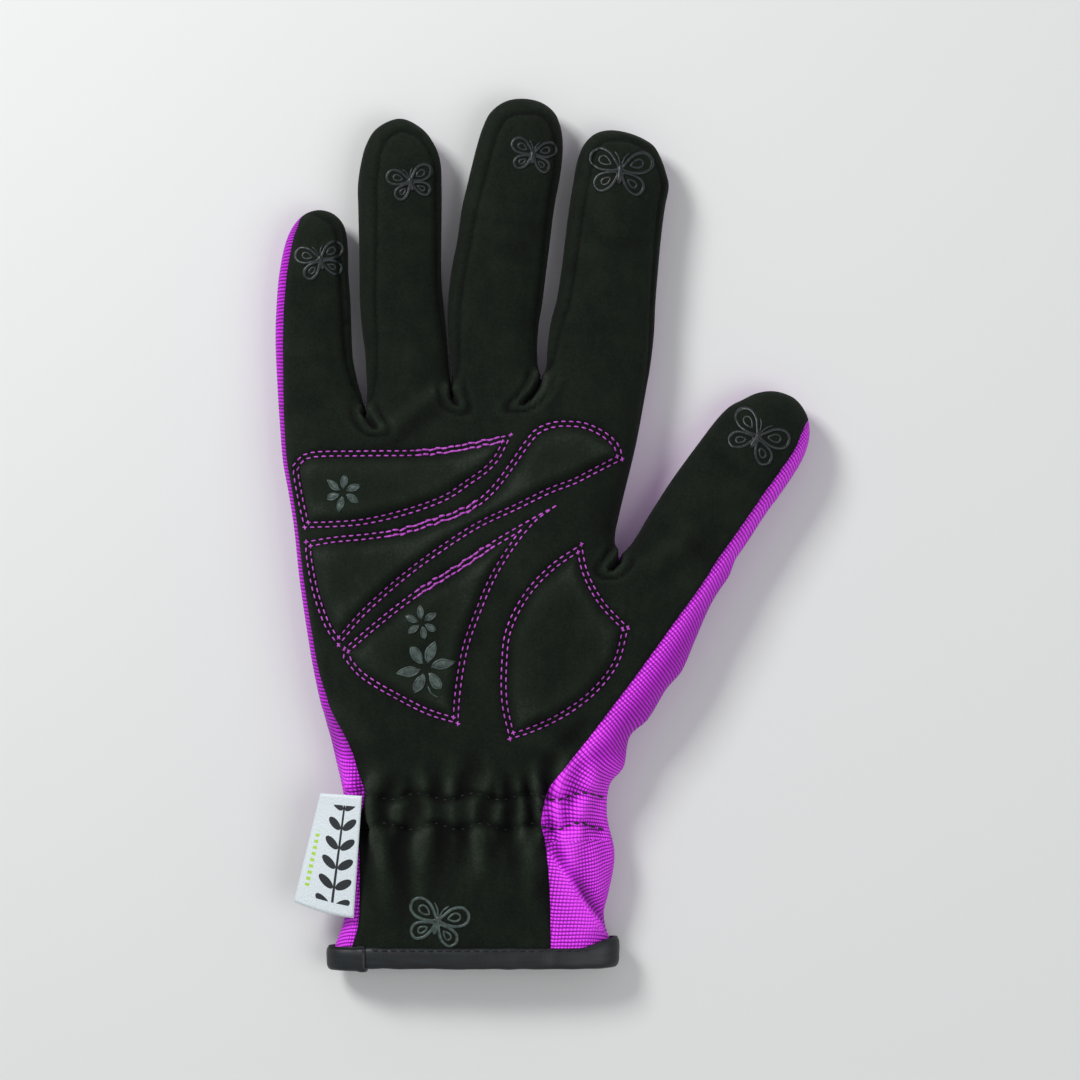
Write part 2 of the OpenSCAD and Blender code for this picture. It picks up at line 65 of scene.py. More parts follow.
MOUTH_Y = -117.6  # raw edge of the cuff, inside the binding
LITTLE_SIDE = [
    (-58.0, MOUTH_Y), (-57.2, -113.5), (-55.2, -108), (-54.4, -104), (-54.3, -80), (-54.6, -73), (-57.4, -60),
    (-59.9, -51.2), (-62.9, -38), (-65.1, -24.8), (-67, -11.6), (-68.4, 1.7), (-69.8, 10.5), (-71.4, 19.3),
    (-72.2, 28.1), (-73.1, 41.3), (-73.6, 54), (-73.3, 63.3), (-72.5, 72.1), (-70.6, 80.9), (-68.4, 85.3),
    (-65.4, 88.2), (-61.5, 89.3), (-57.6, 88.2), (-54.9, 85.3), (-53.8, 80.9), (-53.5, 72.1), (-52.9, 63.3),
    (-52.6, 54.5), (-52.2, 48), (-51, 42), (-49.6, 37), (-48.7, 33.6),
]
RING_SIDE = [
    (-48.7, 33.6), (-48.4, 37), (-48.9, 50), (-49.5, 54.5), (-50.3, 63.3), (-50.5, 76), (-50.8, 89.7),
    (-50.9, 96), (-49.9, 102.9), (-48.6, 107.3), (-45.8, 111.7), (-39.3, 114.5), (-33.2, 111.7),
    (-29.8, 107.3), (-28.2, 102.9), (-27.8, 96), (-27.9, 72), (-27.6, 66), (-27, 60), (-26.3, 52),
    (-25.6, 44), (-25.1, 39.7),
]
MIDDLE_SIDE = [
    (-25.1, 39.7), (-24.8, 44), (-25.6, 52), (-26.1, 60), (-25.9, 66), (-25.2, 72), (-23.5, 81), (-22.2, 90),
    (-20.8, 96), (-19.6, 101), (-18, 107.3), (-16.6, 111.7), (-14.4, 116.1), (-10.5, 119.1), (-6, 120),
    (-0.5, 119), (3.3, 116.1), (5.1, 111.7), (5.6, 107.3), (5.2, 101), (3.2, 89.7), (2.1, 80.9), (1, 72.1),
    (-0.1, 63.3), (-1.1, 57), (-1.5, 50), (-1.2, 45.5), (-0.4, 42.9),
]
INDEX_SIDE = [
    (-0.4, 42.9), (0.9, 45.5), (1.4, 52), (2.4, 58.9), (3.8, 64), (5.1, 72.1), (6.2, 80.9), (7.3, 89.7),
    (8.5, 97), (9.6, 102.9), (11.4, 107.3), (14.5, 110.3), (18.5, 111.3), (23.5, 110.6), (28, 108.8),
    (30.8, 106.8), (32.9, 102.9), (34.2, 99), (34.8, 96), (33.7, 89.7), (32.6, 80.9), (31.8, 72.1),
    (31.1, 63.3), (30.7, 55), (29.8, 47), (28.6, 40), (25.6, 24), (22.2, 10), (20.9, 4.5), (20, 0),
    (20, -3.5), (21.2, -6.3),
]
THUMB_SIDE = [
    (21.2, -6.3), (24.4, -2.8), (29.9, 6.1), (35.6, 14.9), (42, 23.7), (48.8, 32.5), (51.8, 35.3),
    (54.9, 36.9), (59, 38.8), (63.2, 39.4), (67, 38.6), (70, 36.9), (72.8, 32.8), (73.6, 28.1), (72.8, 23.7),
    (70.9, 19.3), (65.1, 10.5), (61.8, 6.1), (56, -2.8), (53, -7.2), (51.3, -11.6), (48.3, -16),
    (45.8, -20.4), (42, -29.2), (38.1, -38), (34.3, -42.4), (28.8, -51.2), (24.1, -55.6), (22.2, -64.4),
    (18.6, -68.8), (17.8, -77.6), (19.7, -86.4), (19.7, -90.8), (18, -99.6), (16.9, -104), (17.4, -108.4),
    (19, -113), (19.6, MOUTH_Y),
]
SIDES = {
    "little": LITTLE_SIDE,
    "ring": RING_SIDE,
    "middle": MIDDLE_SIDE,
    "index": INDEX_SIDE,
    "thumb": THUMB_SIDE,
}

# Each finger: base point, lean toward +X in degrees, height of its middle crease, reach of the bend there, and
# height at which the tip's cloth starts
Finger = namedtuple("Finger", "base lean crease reach split")
FINGERS = {
    "little": Finger((-61.0, 34.4), 0.0, 33.8, 9.8, 23.3),
    "ring": Finger((-36.9, 40.3), -2.2, 39.8, 11.0, 26.0),
    "middle": Finger((-13.0, 44.7), 5.9, 40.8, 11.0, 26.0),
    "index": Finger((14.9, 42.6), 7.0, 37.8, 11.0, 25.0),
    "thumb": Finger((33.35, -13.8), 34.7, 36.8, 11.0, 24.5),
}
ROOT_S = 0.5  # where a finger's own cloth starts, up its middle line
ROOT_BEND = 11.8  # where the finger bends from the hand
ROOT_REACH = 10.9

# Suede edge beside the purple wrap, from the tip of the thumb down to the cuff
THUMB_SEAM = [
    (73.3, 31.5), (71.4, 27.3), (69.5, 23.1), (59.9, 9.4), (40.6, -18.2), (20.5, -45.7), (9.8, -59.4),
    (3.2, -67.5), (0.9, -73), (-0.4, -79), (0.7, -84), (1.6, -92), (2.1, -100), (2.3, -113), (2.4, MOUTH_Y),
]

# Seams that follow the outline: (point on the outline, how far in from it the seam runs)
LITTLE_WRAP = [
    ((-58.0, MOUTH_Y), 4.6), ((-57.2, -113.5), 4.4), ((-54.3, -80), 2.8), ((-54.6, -73), 4.6),
    ((-57.4, -60), 4.9), ((-59.9, -51.2), 2.6), ((-62.9, -38), 1.0), ((-68.4, 1.7), 0.6),
    ((-72.2, 28.1), 0.8), ((-73.6, 54), 2.0), ((-70.6, 80.9), 1.9), ((-65.4, 88.2), 0.0),
]
GUSSETS = {
    "little": [
        ((-65.4, 88.2), 0.0), ((-61.5, 89.3), 2.0), ((-54.9, 85.3), 2.6), ((-53.5, 72.1), 2.2),
        ((-52.2, 48), 1.8), ((-48.7, 33.6), 0.0),
    ],
    "ring": [
        ((-48.7, 33.6), 0.0), ((-48.6, 42), 2.6), ((-49.5, 54.5), 3.8), ((-50.9, 96), 5.2),
        ((-39.3, 114.5), 4.0), ((-33.2, 111.7), 2.6), ((-28.2, 102.9), 1.6), ((-27.6, 66), 1.2),
        ((-25.1, 39.7), 0.0),
    ],
    "middle": [
        ((-25.1, 39.7), 0.0), ((-25.2, 48), 2.2), ((-25.9, 66), 3.4), ((-18, 107.3), 4.4), ((-6, 120), 4.6),
        ((3.3, 116.1), 3.0), ((5.6, 107.3), 1.8), ((-0.1, 63.3), 1.2), ((-0.4, 42.9), 0.0),
    ],
    "index": [
        ((-0.4, 42.9), 0.0), ((1.2, 50), 2.2), ((3.8, 64), 3.4), ((9.6, 102.9), 4.0), ((18.5, 111.3), 3.0),
        ((32.9, 102.9), 1.8), ((31.1, 63.3), 1.2), ((26.4, 28), 0.0),
    ],
}
BACK_SHARE = 0.55  # the gussets' seams on the back run nearer the outline, by this share
# The purple cloth's fold on the cuff, from the suede's edge to the outline
FOLD = [(0.6, -85.0), (4.5, -91.2), (8.8, -97.6), (13.4, -104.4), (17.6, -110.6)]

# Quilted pads, along their outer row of stitches: each is a clockwise loop of curves that meet at corners
PADS = {
    "finger_root": [
        [(-66.6, 20.6), (-64.3, 22), (-49.4, 22.6), (-34, 22.8), (-25.2, 23.7), (-15.3, 25.6), (-8.7, 27)],
        [(-8.7, 27), (-12.2, 20.1), (-15.8, 16.4), (-20, 13.5), (-25.2, 9.9), (-31.5, 7.2), (-41.1, 4.3),
         (-49.4, 2.6), (-57.4, 2), (-65.1, 1.8)],
        [(-65.1, 1.8), (-67, 9.9), (-68.1, 19), (-66.6, 20.6)],
    ],
    "diagonal": [
        [(-64.7, -2.2), (-57.4, -1), (-47.2, 0), (-38.1, 1.4), (-29, 4.3), (-24.4, 5.8), (-17.8, 9.1),
         (-13.1, 13.5), (-9.2, 18.7), (-4, 26.1), (-1.4, 28.8), (3.1, 30.5), (8, 30.7), (12.2, 30.1),
         (18, 27.1), (21.1, 23.7), (21.8, 20.5)],
        [(21.8, 20.5), (14.7, 16.8), (8.9, 13.8), (2.6, 11.4), (-7.3, 6.6), (-17.2, 1.9), (-27.9, -5),
         (-38.4, -12.9), (-48.8, -22.3), (-55.7, -30.3)],
        [(-55.7, -30.3), (-58.9, -26.1), (-62.6, -16.5), (-64.7, -5), (-64.7, -2.2)],
    ],
    "palm_centre": [
        [(3.2, 7.4), (-2.6, 2.9), (-12, -10.2), (-17.2, -21.9), (-20.5, -31.4), (-22.6, -44),
         (-23.1, -51.7)],
        [(-23.1, -51.7), (-31, -49.3), (-38.4, -45.7), (-49.9, -38.8), (-53.4, -34.8), (-54.4, -33),
         (-54.1, -31.4)],
        [(-54.1, -31.4), (-44.7, -23.4), (-34.3, -15.5), (-23.5, -8.8), (-13.1, -1.9), (-3.2, 3.9),
         (3.2, 7.4)],
    ],
    "thumb_ball": [
        [(10.6, -2.9), (12.2, -10.2), (16.4, -18.2), (23.3, -25.6)],
        [(23.3, -25.6), (20.5, -35.5), (14.3, -43.5), (5.9, -49.8), (-2.6, -53.9), (-8.9, -55.9)],
        [(-8.9, -55.9), (-11, -46.1), (-11.1, -35.5), (-9.9, -26.1), (-4.7, -16), (2.6, -8.3), (10.6, -2.9)],
    ],
}
# Where a pad's rows are sewn twice: pad, which of its curves, from, to
OVERSEWN = [
    ("finger_root", 0, (-33.5, 22.9), (-12.5, 26.1)),
    ("diagonal", 0, (-42, 0.8), (-19, 8.6)),
    ("palm_centre", 2, (-34, -15.3), (-14.5, -2.8)),
]
ROW_GAP = 0.65  # from a pad's outer row of stitches in to its own line, and from there to its inner row
PAD_RISE = 4.2  # how far in from its line a pad reaches its full height
# Creases from where two fingers part: where, toward, length
TUCKS = [
    ((-48.7, 33.6), (0.32, -1.0), 7.0),
    ((-25.1, 39.7), (0.12, -1.0), 6.0),
    ((-0.4, 42.9), (-0.22, -1.0), 10.0),
    ((21.2, -6.3), (-0.5, -1.0), 6.0),
]
# Soft folds in the palm side: from, to, height and half width; the cloth dips on their right
SOFT_FOLDS = [
    ((-46, 25.5), (-26, 42), 0.8, 2.4), ((-3, 30), (4, 46), 0.5, 2.2), ((26, -12), (44, 4), 0.5, 3.0),
    ((-60, -44), (-44, -60), 0.6, 3.0), ((8, -62), (-8, -52), 0.5, 2.6), ((18, -52), (2, -68), 0.7, 2.6),
]
ELASTIC_ROWS = (-71.8, -80.1)  # the two rows of stitches that hold the wrist elastic
ELASTIC_Y = (-84.5, -67.5)  # from the elastic's lower edge to its upper one
WEAVE_PITCH = 1.0  # from rib to rib of the purple cloth


# ------------------------------------------------------------------------------------------------
# Curves and fields
# ------------------------------------------------------------------------------------------------

def smooth(x):
    """0 to 1 with soft ends."""
    x = np.clip(x, 0, 1)
    return x * x * (3 - 2 * x)


def bell(x, width):
    """1 at zero, falling to 0 within about twice the width on both sides."""
    return np.exp(-((x / width) ** 2))


def turned(points, angle):
    """Points turned anticlockwise about the origin, by one angle or by each its own."""
    x, y = points[:, 0], points[:, 1]
    return np.column_stack([x * np.cos(angle) - y * np.sin(angle), x * np.sin(angle) + y * np.cos(angle)])


def beside(points, start, direction):
    """How far each point lies along a line from start, and how far to the left of it."""
    d = np.array(direction) / np.linalg.norm(direction)
    rel = points - np.array(start)
    return rel @ d, rel @ np.array([-d[1], d[0]])


def nearest_index(line, point):
    """Which of a line's points is nearest to a point."""
    return int(((line - np.array(point)) ** 2).sum(1).argmin())


def averaged(values, reach):
    """Each value's mean with its neighbours up to reach places away."""
    window = np.ones(2 * reach + 1) / (2 * reach + 1)
    return np.convolve(np.pad(values, reach, mode="edge"), window, mode="valid")


def evenly(points, step, closed=False):
    """The same line with its points about step apart."""
    p = np.vstack([points, points[:1]]) if closed else np.asarray(points, float)
    along = np.concatenate([[0], np.cumsum(np.linalg.norm(np.diff(p, axis=0), axis=1))])
    count = max(2, int(round(along[-1] / step)) + 1)
    at = np.linspace(0, along[-1], count)
    out = np.column_stack([np.interp(at, along, p[:, k]) for k in range(p.shape[1])])
    return out[:-1] if closed else out


def curve(points, step, closed=False):
    """A smooth line through the points (centripetal Catmull-Rom), its points about step apart."""
    p = np.asarray(points, float)
    if closed:
        p = np.vstack([p[-1:], p, p[:2]])
    else:
        p = np.vstack([2 * p[0] - p[1], p, 2 * p[-1] - p[-2]])
    knot = np.concatenate([[0], np.cumsum(np.sqrt(np.linalg.norm(np.diff(p, axis=0), axis=1)))])

    def mix(a, b, ta, tb, t):
        return ((tb - t) * a + (t - ta) * b) / (tb - ta)

    fine = []
    for i in range(1, len(p) - 2):
        count = max(3, int(4 * np.linalg.norm(p[i + 1] - p[i]) / step))
        t = np.linspace(knot[i], knot[i + 1], count, endpoint=False)[:, None]
        k = knot[i - 1:i + 3]
        a = [mix(p[i - 1 + j], p[i + j], k[j], k[j + 1], t) for j in range(3)]
        b = [mix(a[j], a[j + 1], k[j], k[j + 2], t) for j in range(2)]
        fine.append(mix(b[0], b[1], k[1], k[2], t))
    fine.append(p[-2][None])
    return evenly(np.vstack(fine), step)


def joined(lines):
    """Curves that meet end to end, as one closed line with no point twice."""
    return np.vstack([line[:-1] for line in lines])


def meeting(a, b, reach=16):
    """Two lines trimmed where a's end crosses b's start, or run on to where they would meet.

    Only the last and first few points, as many as reach, are looked at.
    """
    for i in reversed(range(max(0, len(a) - reach), len(a) - 1)):
        for j in range(min(len(b) - 1, reach)):
            p, d = a[i], a[i + 1] - a[i]
            q, e = b[j], b[j + 1] - b[j]
            det = d[0] * e[1] - d[1] * e[0]
            if abs(det) < 1e-12:
                continue
            t = ((q[0] - p[0]) * e[1] - (q[1] - p[1]) * e[0]) / det
            u = ((q[0] - p[0]) * d[1] - (q[1] - p[1]) * d[0]) / det
            if 0 <= t <= 1 and 0 <= u <= 1:
                x = p + t * d
                return np.vstack([a[:i + 1], x]), np.vstack([x, b[j + 1:]])
    x = 0.5 * (a[-1] + b[0])
    return np.vstack([a[:-1], x]), np.vstack([x, b[1:]])


def moved_in(loop, distance):
    """A clockwise loop of curves moved inwards, its corners kept sharp."""
    lines = [line + normals_of(line) * distance for line in loop]
    for k in range(len(lines)):
        after = (k + 1) % len(lines)
        lines[k], lines[after] = meeting(lines[k], lines[after])
    return [evenly(line, STEP) for line in lines]


def normals_of(line, closed=False):
    """Unit vectors to the right of a line's direction."""
    if closed:
        d = np.roll(line, -1, axis=0) - np.roll(line, 1, axis=0)
    else:
        d = np.gradient(line, axis=0)
    d /= np.linalg.norm(d, axis=1)[:, None] + 1e-12
    return np.column_stack([d[:, 1], -d[:, 0]])


def inside(points, polygon):
    """Which points lie inside a closed polygon."""
    hit = np.zeros(len(points), bool)
    for (ax, ay), (bx, by) in zip(polygon, np.roll(polygon, -1, axis=0)):
        if ay == by:
            continue
        crosses = (ay > points[:, 1]) != (by > points[:, 1])
        hit ^= crosses & (points[:, 0] < (bx - ax) * (points[:, 1] - ay) / (by - ay) + ax)
    return hit


def nearest(points, line, closed=False, batch=2000):
    """Distance from each point to a line, and the nearest point on it; worked out a batch at a time."""
    a = line if closed else line[:-1]
    ab = (np.roll(line, -1, axis=0) if closed else line[1:]) - a
    size = (ab ** 2).sum(1) + 1e-12
    distance = np.empty(len(points))
    foot = np.empty((len(points), 2))
    for start in range(0, len(points), batch):
        some = slice(start, start + batch)
        x = points[some, None, 0] - a[:, 0]
        y = points[some, None, 1] - a[:, 1]
        t = np.clip((x * ab[:, 0] + y * ab[:, 1]) / size, 0, 1)
        square = (x - t * ab[:, 0]) ** 2 + (y - t * ab[:, 1]) ** 2
        best = square.argmin(1)
        row = np.arange(len(best))
        distance[some] = np.sqrt(square[row, best])
        foot[some] = a[best] + t[row, best, None] * ab[best]
    return distance, foot


def ripples(points, wavelength, seed, waves=9):
    """Smooth random hills, about -1 to 1."""
    rng = np.random.default_rng(seed)
    turn = rng.uniform(0, 2 * math.pi, waves)
    size = wavelength * rng.uniform(0.7, 1.5, waves)
    phase = rng.uniform(0, 2 * math.pi, waves)
    total = np.zeros(len(points))
    for angle, length, shift in zip(turn, size, phase):
        along = points[:, 0] * math.cos(angle) + points[:, 1] * math.sin(angle)
        total += np.cos(2 * math.pi * along / length + shift)
    return total / math.sqrt(2 * waves)


def finger_frame(name):
    """Base point, direction up the finger and direction across it."""
    lean = math.radians(FINGERS[name].lean)
    up = np.array([math.sin(lean), math.cos(lean)])
    return np.array(FINGERS[name].base), up, np.array([up[1], -up[0]])


# ------------------------------------------------------------------------------------------------
# The flat drawing: outline, seams, cuts and pads as lines, triangulated
# ------------------------------------------------------------------------------------------------

side_lines = {name: curve(points, STEP) for name, points in SIDES.items()}
outline = np.vstack([joined(side_lines.values()), side_lines["thumb"][-1:]])
side_start = dict(zip(side_lines, np.cumsum([0] + [len(line) - 1 for line in side_lines.values()])))
mouth = evenly(np.array([outline[-1], outline[0]]), STEP)[1:-1]
silhouette = np.vstack([outline, mouth])


def inset_seam(keys, share=1.0, fade=4):
    """A seam inside the outline, which it may leave over a few points, and the strip of cloth between."""
    at = [nearest_index(outline, point) for point, _ in keys]
    index = np.arange(at[0], at[-1] + 1)
    depth = averaged(np.interp(index, at, [inset for _, inset in keys]), 4)
    if keys[0][1] == 0:
        depth *= np.clip((index - at[0]) / fade, 0, 1)
    if keys[-1][1] == 0:
        depth *= np.clip((at[-1] - index) / fade, 0, 1)
    seam = outline[index] + normals_of(outline[index]) * (share * depth)[:, None]
    return seam, np.vstack([outline[index], seam[::-1]])


def across(name, s, half_width=18):
    """A straight cut across a finger at height s, and the outline's stretch above it."""
    base, up, right = finger_frame(name)
    line = side_lines[name]
    height = (line - base) @ up
    offset = (line - base) @ right
    near = np.abs(offset) < half_width
    left, right = (
        side_start[name] + int(np.where(near & (sign * offset > 0), np.abs(height - s), 1e9).argmin())
        for sign in (-1, 1)
    )
    cut = evenly(np.array([outline[left], outline[right]]), STEP)
    return cut, np.vstack([outline[left:right + 1], cut[1:-1][::-1]])


little_wrap, little_wrap_area = inset_seam(LITTLE_WRAP)
little_wrap[0, 1] = MOUTH_Y
thumb_tip = nearest_index(outline, THUMB_SEAM[0])
thumb_seam = curve(THUMB_SEAM, STEP)
thumb_seam[0] = outline[thumb_tip]
thumb_wrap_area = np.vstack([thumb_seam, outline[thumb_tip:][::-1]])
fold_line = curve(FOLD, STEP)
fold_line[-1] = outline[nearest_index(outline, FOLD[-1])]
fold_line[0] = thumb_seam[nearest_index(thumb_seam, fold_line[0])]
past_edge = [(40, -112), (40, -84), (fold_line[0][0], -84)]  # clear of the cuff on the thumb's side
beyond_fold = np.vstack([fold_line, past_edge])

# Each of these holds a line and the region that it cuts off
gussets_front = {name: inset_seam(keys) for name, keys in GUSSETS.items()}
gussets_back = {name: inset_seam(keys, BACK_SHARE) for name, keys in GUSSETS.items()}
roots = {name: across(name, ROOT_S) for name in FINGERS}
tips = {name: across(name, finger.split) for name, finger in FINGERS.items()}

front_seams = [little_wrap, thumb_seam] + [seam for seam, _ in gussets_front.values()]
back_seams = [seam for seam, _ in gussets_back.values()]
cuts = [group[name][0] for name in FINGERS for group in (roots, tips)]
pad_loops = {name: [curve(part, STEP) for part in loop] for name, loop in PADS.items()}
pad_lines = {name: joined(moved_in(loop, ROW_GAP)) for name, loop in pad_loops.items()}

EDGE_RINGS = (0.13, 0.5, 1.05)  # rows of points beside the outline, by distance from it
PAD_RINGS = (-1.4, -0.7, 0.7, 1.4)  # rows of points beside a pad's line
GRID_ROW = 0.93  # the rest of the drawing is filled with rows this far apart
GRID_X = (-76, 76)
GRID_Y = (MOUTH_Y + 0.6, 121)
GRID_MARGIN = 1.6


def drawing_points():
    """The drawing's fixed points, the edges between them, and loose points to add: (points, least gap)."""
    open_lines = front_seams + back_seams + cuts + [fold_line]
    closed_lines = list(pad_lines.values())
    lines = [(silhouette, True)] + [(line, False) for line in open_lines]
    lines += [(line, True) for line in closed_lines]
    points, edges, count = [], [], 0
    for line, closed in lines:
        index = np.arange(len(line)) + count
        pairs = np.column_stack([index, np.roll(index, -1)])
        edges.append(pairs if closed else pairs[:-1])
        points.append(line)
        count += len(line)

    column = GRID_ROW * 2 / math.sqrt(3)
    xs = np.arange(*GRID_X, column)
    heights = np.arange(*GRID_Y, GRID_ROW)
    grid = np.vstack([
        np.column_stack([xs + (j % 2) * column / 2, np.full(len(xs), y)]) for j, y in enumerate(heights)
    ])
    grid = grid[inside(grid, silhouette) & (nearest(grid, outline)[0] > GRID_MARGIN)]
    beside_pads = np.vstack([
        line + normals_of(line, closed=True) * distance for line in closed_lines for distance in PAD_RINGS
    ])
    beside_pads = beside_pads[inside(beside_pads, silhouette)]
    beside_edge = np.vstack([outline + normals_of(outline) * inset for inset in EDGE_RINGS])
    clear = nearest(beside_edge, outline)[0] > 0.85 * np.repeat(EDGE_RINGS, len(outline))
    beside_edge = beside_edge[inside(beside_edge, silhouette) & clear]
    return np.vstack(points), np.vstack(edges), [(beside_edge, 0.12), (beside_pads, 0.5), (grid, 0.55)]


def thinned(kept, candidates, gap):
    """Those of the candidates that are no nearer than gap to a point already there."""
    taken = {}
    for x, y in kept:
        taken.setdefault((int(x // gap), int(y // gap)), []).append((x, y))
    out = []
    for x, y in candidates:
        i, j = int(x // gap), int(y // gap)
        close = any(
            (x - a) ** 2 + (y - b) ** 2 < gap * gap
            for di in (-1, 0, 1) for dj in (-1, 0, 1) for a, b in taken.get((i + di, j + dj), ())
        )
        if not close:
            taken.setdefault((i, j), []).append((x, y))
            out.append((x, y))
    return np.array(out)


def triangulate():
    """Points and triangles of the flat drawing."""
    points, edges, loose = drawing_points()
    for candidates, gap in loose:
        points = np.vstack([points, thinned(points, candidates, gap)])
    flat, _, faces, *_ = delaunay_2d_cdt(
        [Vector(p) for p in points], [tuple(int(i) for i in e) for e in edges], [], 0, 1e-4, False
    )
    flat = np.array([tuple(v) for v in flat])
    faces = np.array([f for f in faces if len(f) == 3])
    faces = faces[inside(flat[faces].mean(1), silhouette)]
    a, b, c = (flat[faces[:, k]] for k in range(3))
    area = (b[:, 0] - a[:, 0]) * (c[:, 1] - a[:, 1]) - (b[:, 1] - a[:, 1]) * (c[:, 0] - a[:, 0])
    faces[area < 0] = faces[area < 0][:, ::-1]
    faces = faces[np.abs(area) > 1e-5]
    used, numbered = np.unique(faces, return_inverse=True)
    return flat[used], numbered.reshape(faces.shape)


flat, triangles = triangulate()
N = len(flat)
edge_distance, edge_foot = nearest(flat, outline)
on_edge = edge_distance < 2e-3
triangles = triangles[~on_edge[triangles].all(1)]  # such a sliver would have no room between front and back
middle_of = flat[triangles].mean(1)

# ------------------------------------------------------------------------------------------------
# The shell: front and back surfaces
# ------------------------------------------------------------------------------------------------

SWELL = 8.4  # how far in from the outline the stuffing rounds the cloth
LOWEST = 0.02  # the cloth's outer face stays this far above the ground


def swelling(rounds=600, close_enough=1e-10):
    """How far the cloth stands off its outline.

    It is the root of 2u, where u - SWELL^2 * laplacian(u) = SWELL^2 inside and u = 0 on the outline; u is
    found by conjugate gradients on the triangles.
    """
    p = flat[triangles]
    weight = np.zeros((len(triangles), 3))
    for k in range(3):
        u = p[:, (k + 1) % 3] - p[:, k]
        v = p[:, (k + 2) % 3] - p[:, k]
        cross = np.abs(u[:, 0] * v[:, 1] - u[:, 1] * v[:, 0])
        weight[:, k] = (u * v).sum(1) / np.maximum(cross, 1e-9) / 2
    weight = np.clip(weight, -5, 20)  # so that slivers do not outweigh the rest
    area = cross / 2
    mass = np.bincount(triangles.ravel(), np.repeat(area / 3, 3), N)
    i = triangles[:, [1, 2, 0]].T.ravel()
    j = triangles[:, [2, 0, 1]].T.ravel()
    w = weight.T.ravel()
    free = (~on_edge).astype(float)

    def apply(x):
        step = w * (x[i] - x[j])
        stiff = np.bincount(i, step, N) - np.bincount(j, step, N)
        return free * (stiff + mass * x / SWELL ** 2)

    diagonal = np.maximum(np.bincount(i, w, N) + np.bincount(j, w, N) + mass / SWELL ** 2, 1e-6)
    x = np.zeros(N)
    r = free * mass
    z = r / diagonal
    d = z.copy()
    rz = r @ z
    enough = close_enough * rz
    for _ in range(rounds):
        ad = apply(d)
        step = rz / (d @ ad)
        x += step * d
        r -= step * ad
        z = r / diagonal
        new = r @ z
        if new < enough:
            break
        d = z + new / rz * d
        rz = new
    return np.sqrt(2 * np.maximum(x, 0))


def by_height(values):
    """A smooth function of y from (y, value) pairs."""
    ys, vs = zip(*values)
    fine = np.linspace(-130, 130, 521)
    table = averaged(np.interp(fine, ys, vs), 10)
    return lambda y: np.interp(y, fine, table)


seam_height = by_height([(-120, 6.6), (-95, 7.2), (-76, 8), (-45, 9), (0, 9), (25, 8), (40, 7)])
fullness = by_height([(-120, 0.56), (-95, 0.66), (-76, 0.76), (-45, 1.0), (20, 1.0), (45, 0.93)])
swell = swelling()
middle_z = seam_height(flat[:, 1])
front_z = middle_z + swell * fullness(flat[:, 1])
# The back curves down from the seam and flattens where it meets the ground
sink = 1.2 * swell / middle_z
ground = by_height([(-120, 2.4), (-108, 2.0), (-94, 0.2), (-90, 0.0)])(flat[:, 1])
back_z = ground + (middle_z - ground) * (1 - sink / (1 + sink ** 6) ** (1 / 6))

back_number = np.where(on_edge, np.arange(N), N + np.arange(N))
front_faces = triangles
back_faces = back_number[triangles][:, ::-1]
shell = np.vstack([np.column_stack([flat, front_z]), np.column_stack([flat, back_z])])


def shell_normals(points):
    """Unit normals at the shell's points, weighted by the areas of the faces round them."""
    faces = np.vstack([front_faces, back_faces])
    a, b, c = (points[faces[:, k]] for k in range(3))
    face_normal = np.cross(b - a, c - a)
    total = np.zeros_like(points)
    for k in range(3):
        for axis in range(3):
            total[:, axis] += np.bincount(faces[:, k], face_normal[:, axis], len(points))
    return total / (np.linalg.norm(total, axis=1)[:, None] + 1e-12)


def pad_depth(points, name):
    """Signed distance into a pad from its line."""
    distance, _ = nearest(points, pad_lines[name], closed=True)
    return np.where(inside(points, pad_lines[name]), distance, -distance)


def row_wave(x, row_y):
    """How far a row of the elastic's stitches has wandered down at x."""
    return 0.9 * np.sin(x / (2.4 if row_y == ELASTIC_ROWS[0] else 2.1))


def fold_wave(x, length, shift):
    """Folds across x, from 0 between two of them to 1 on top."""
    return 0.5 + 0.5 * np.cos(2 * math.pi * x / length + shift)


def wrist_gathers(points):
    """Folds that the wrist elastic draws up, with the cloth pinched down along its two rows of stitches."""
    x, y = points.T
    top, bottom = ELASTIC_ROWS
    wander = 1.3 * np.sin(x / 9.0 + 0.6) + 0.9 * np.sin(x / 4.1 + y / 6.0)
    uneven = 0.75 + 0.35 * np.sin(x / 7.0 + 2.0)
    # How strong the folds are between the rows, below them on the cuff and above them on the palm
    between = smooth(1 - np.clip(np.abs(y - 0.5 * (top + bottom)) - 3.5, 0, None) / 8.5)
    reach = 25 + 7 * np.sin(x / 6.3 + 1.2)
    below = smooth((bottom + 3 - y) / 6) * smooth(1 - (bottom - y) / reach)
    above = smooth((y - top + 3) / 6) * smooth(1 - (y - top) / (14 + 5 * np.sin(x / 5.0)))
    lean = x + 0.10 * (y - bottom) * np.sin(x / 11)
    short = fold_wave(x + wander, 6.4, 0.4)
    mid = fold_wave(lean + wander, 8.3, 1.0)
    long = fold_wave(lean + 1.4 * np.sin(x / 8), 13.4, 2.2)
    pinch = bell(y - top + row_wave(x, top), 1.3) + bell(y - bottom + row_wave(x, bottom), 1.3)
    folds = between * uneven * (3.0 * short ** 1.4 - 1.5) + below * (3.4 * long ** 1.5 + 1.2 * mid - 2.1)
    return folds + above * (2.2 * mid ** 1.5 + 1.0 * long - 1.3) - pinch * (0.7 + 0.9 * short)


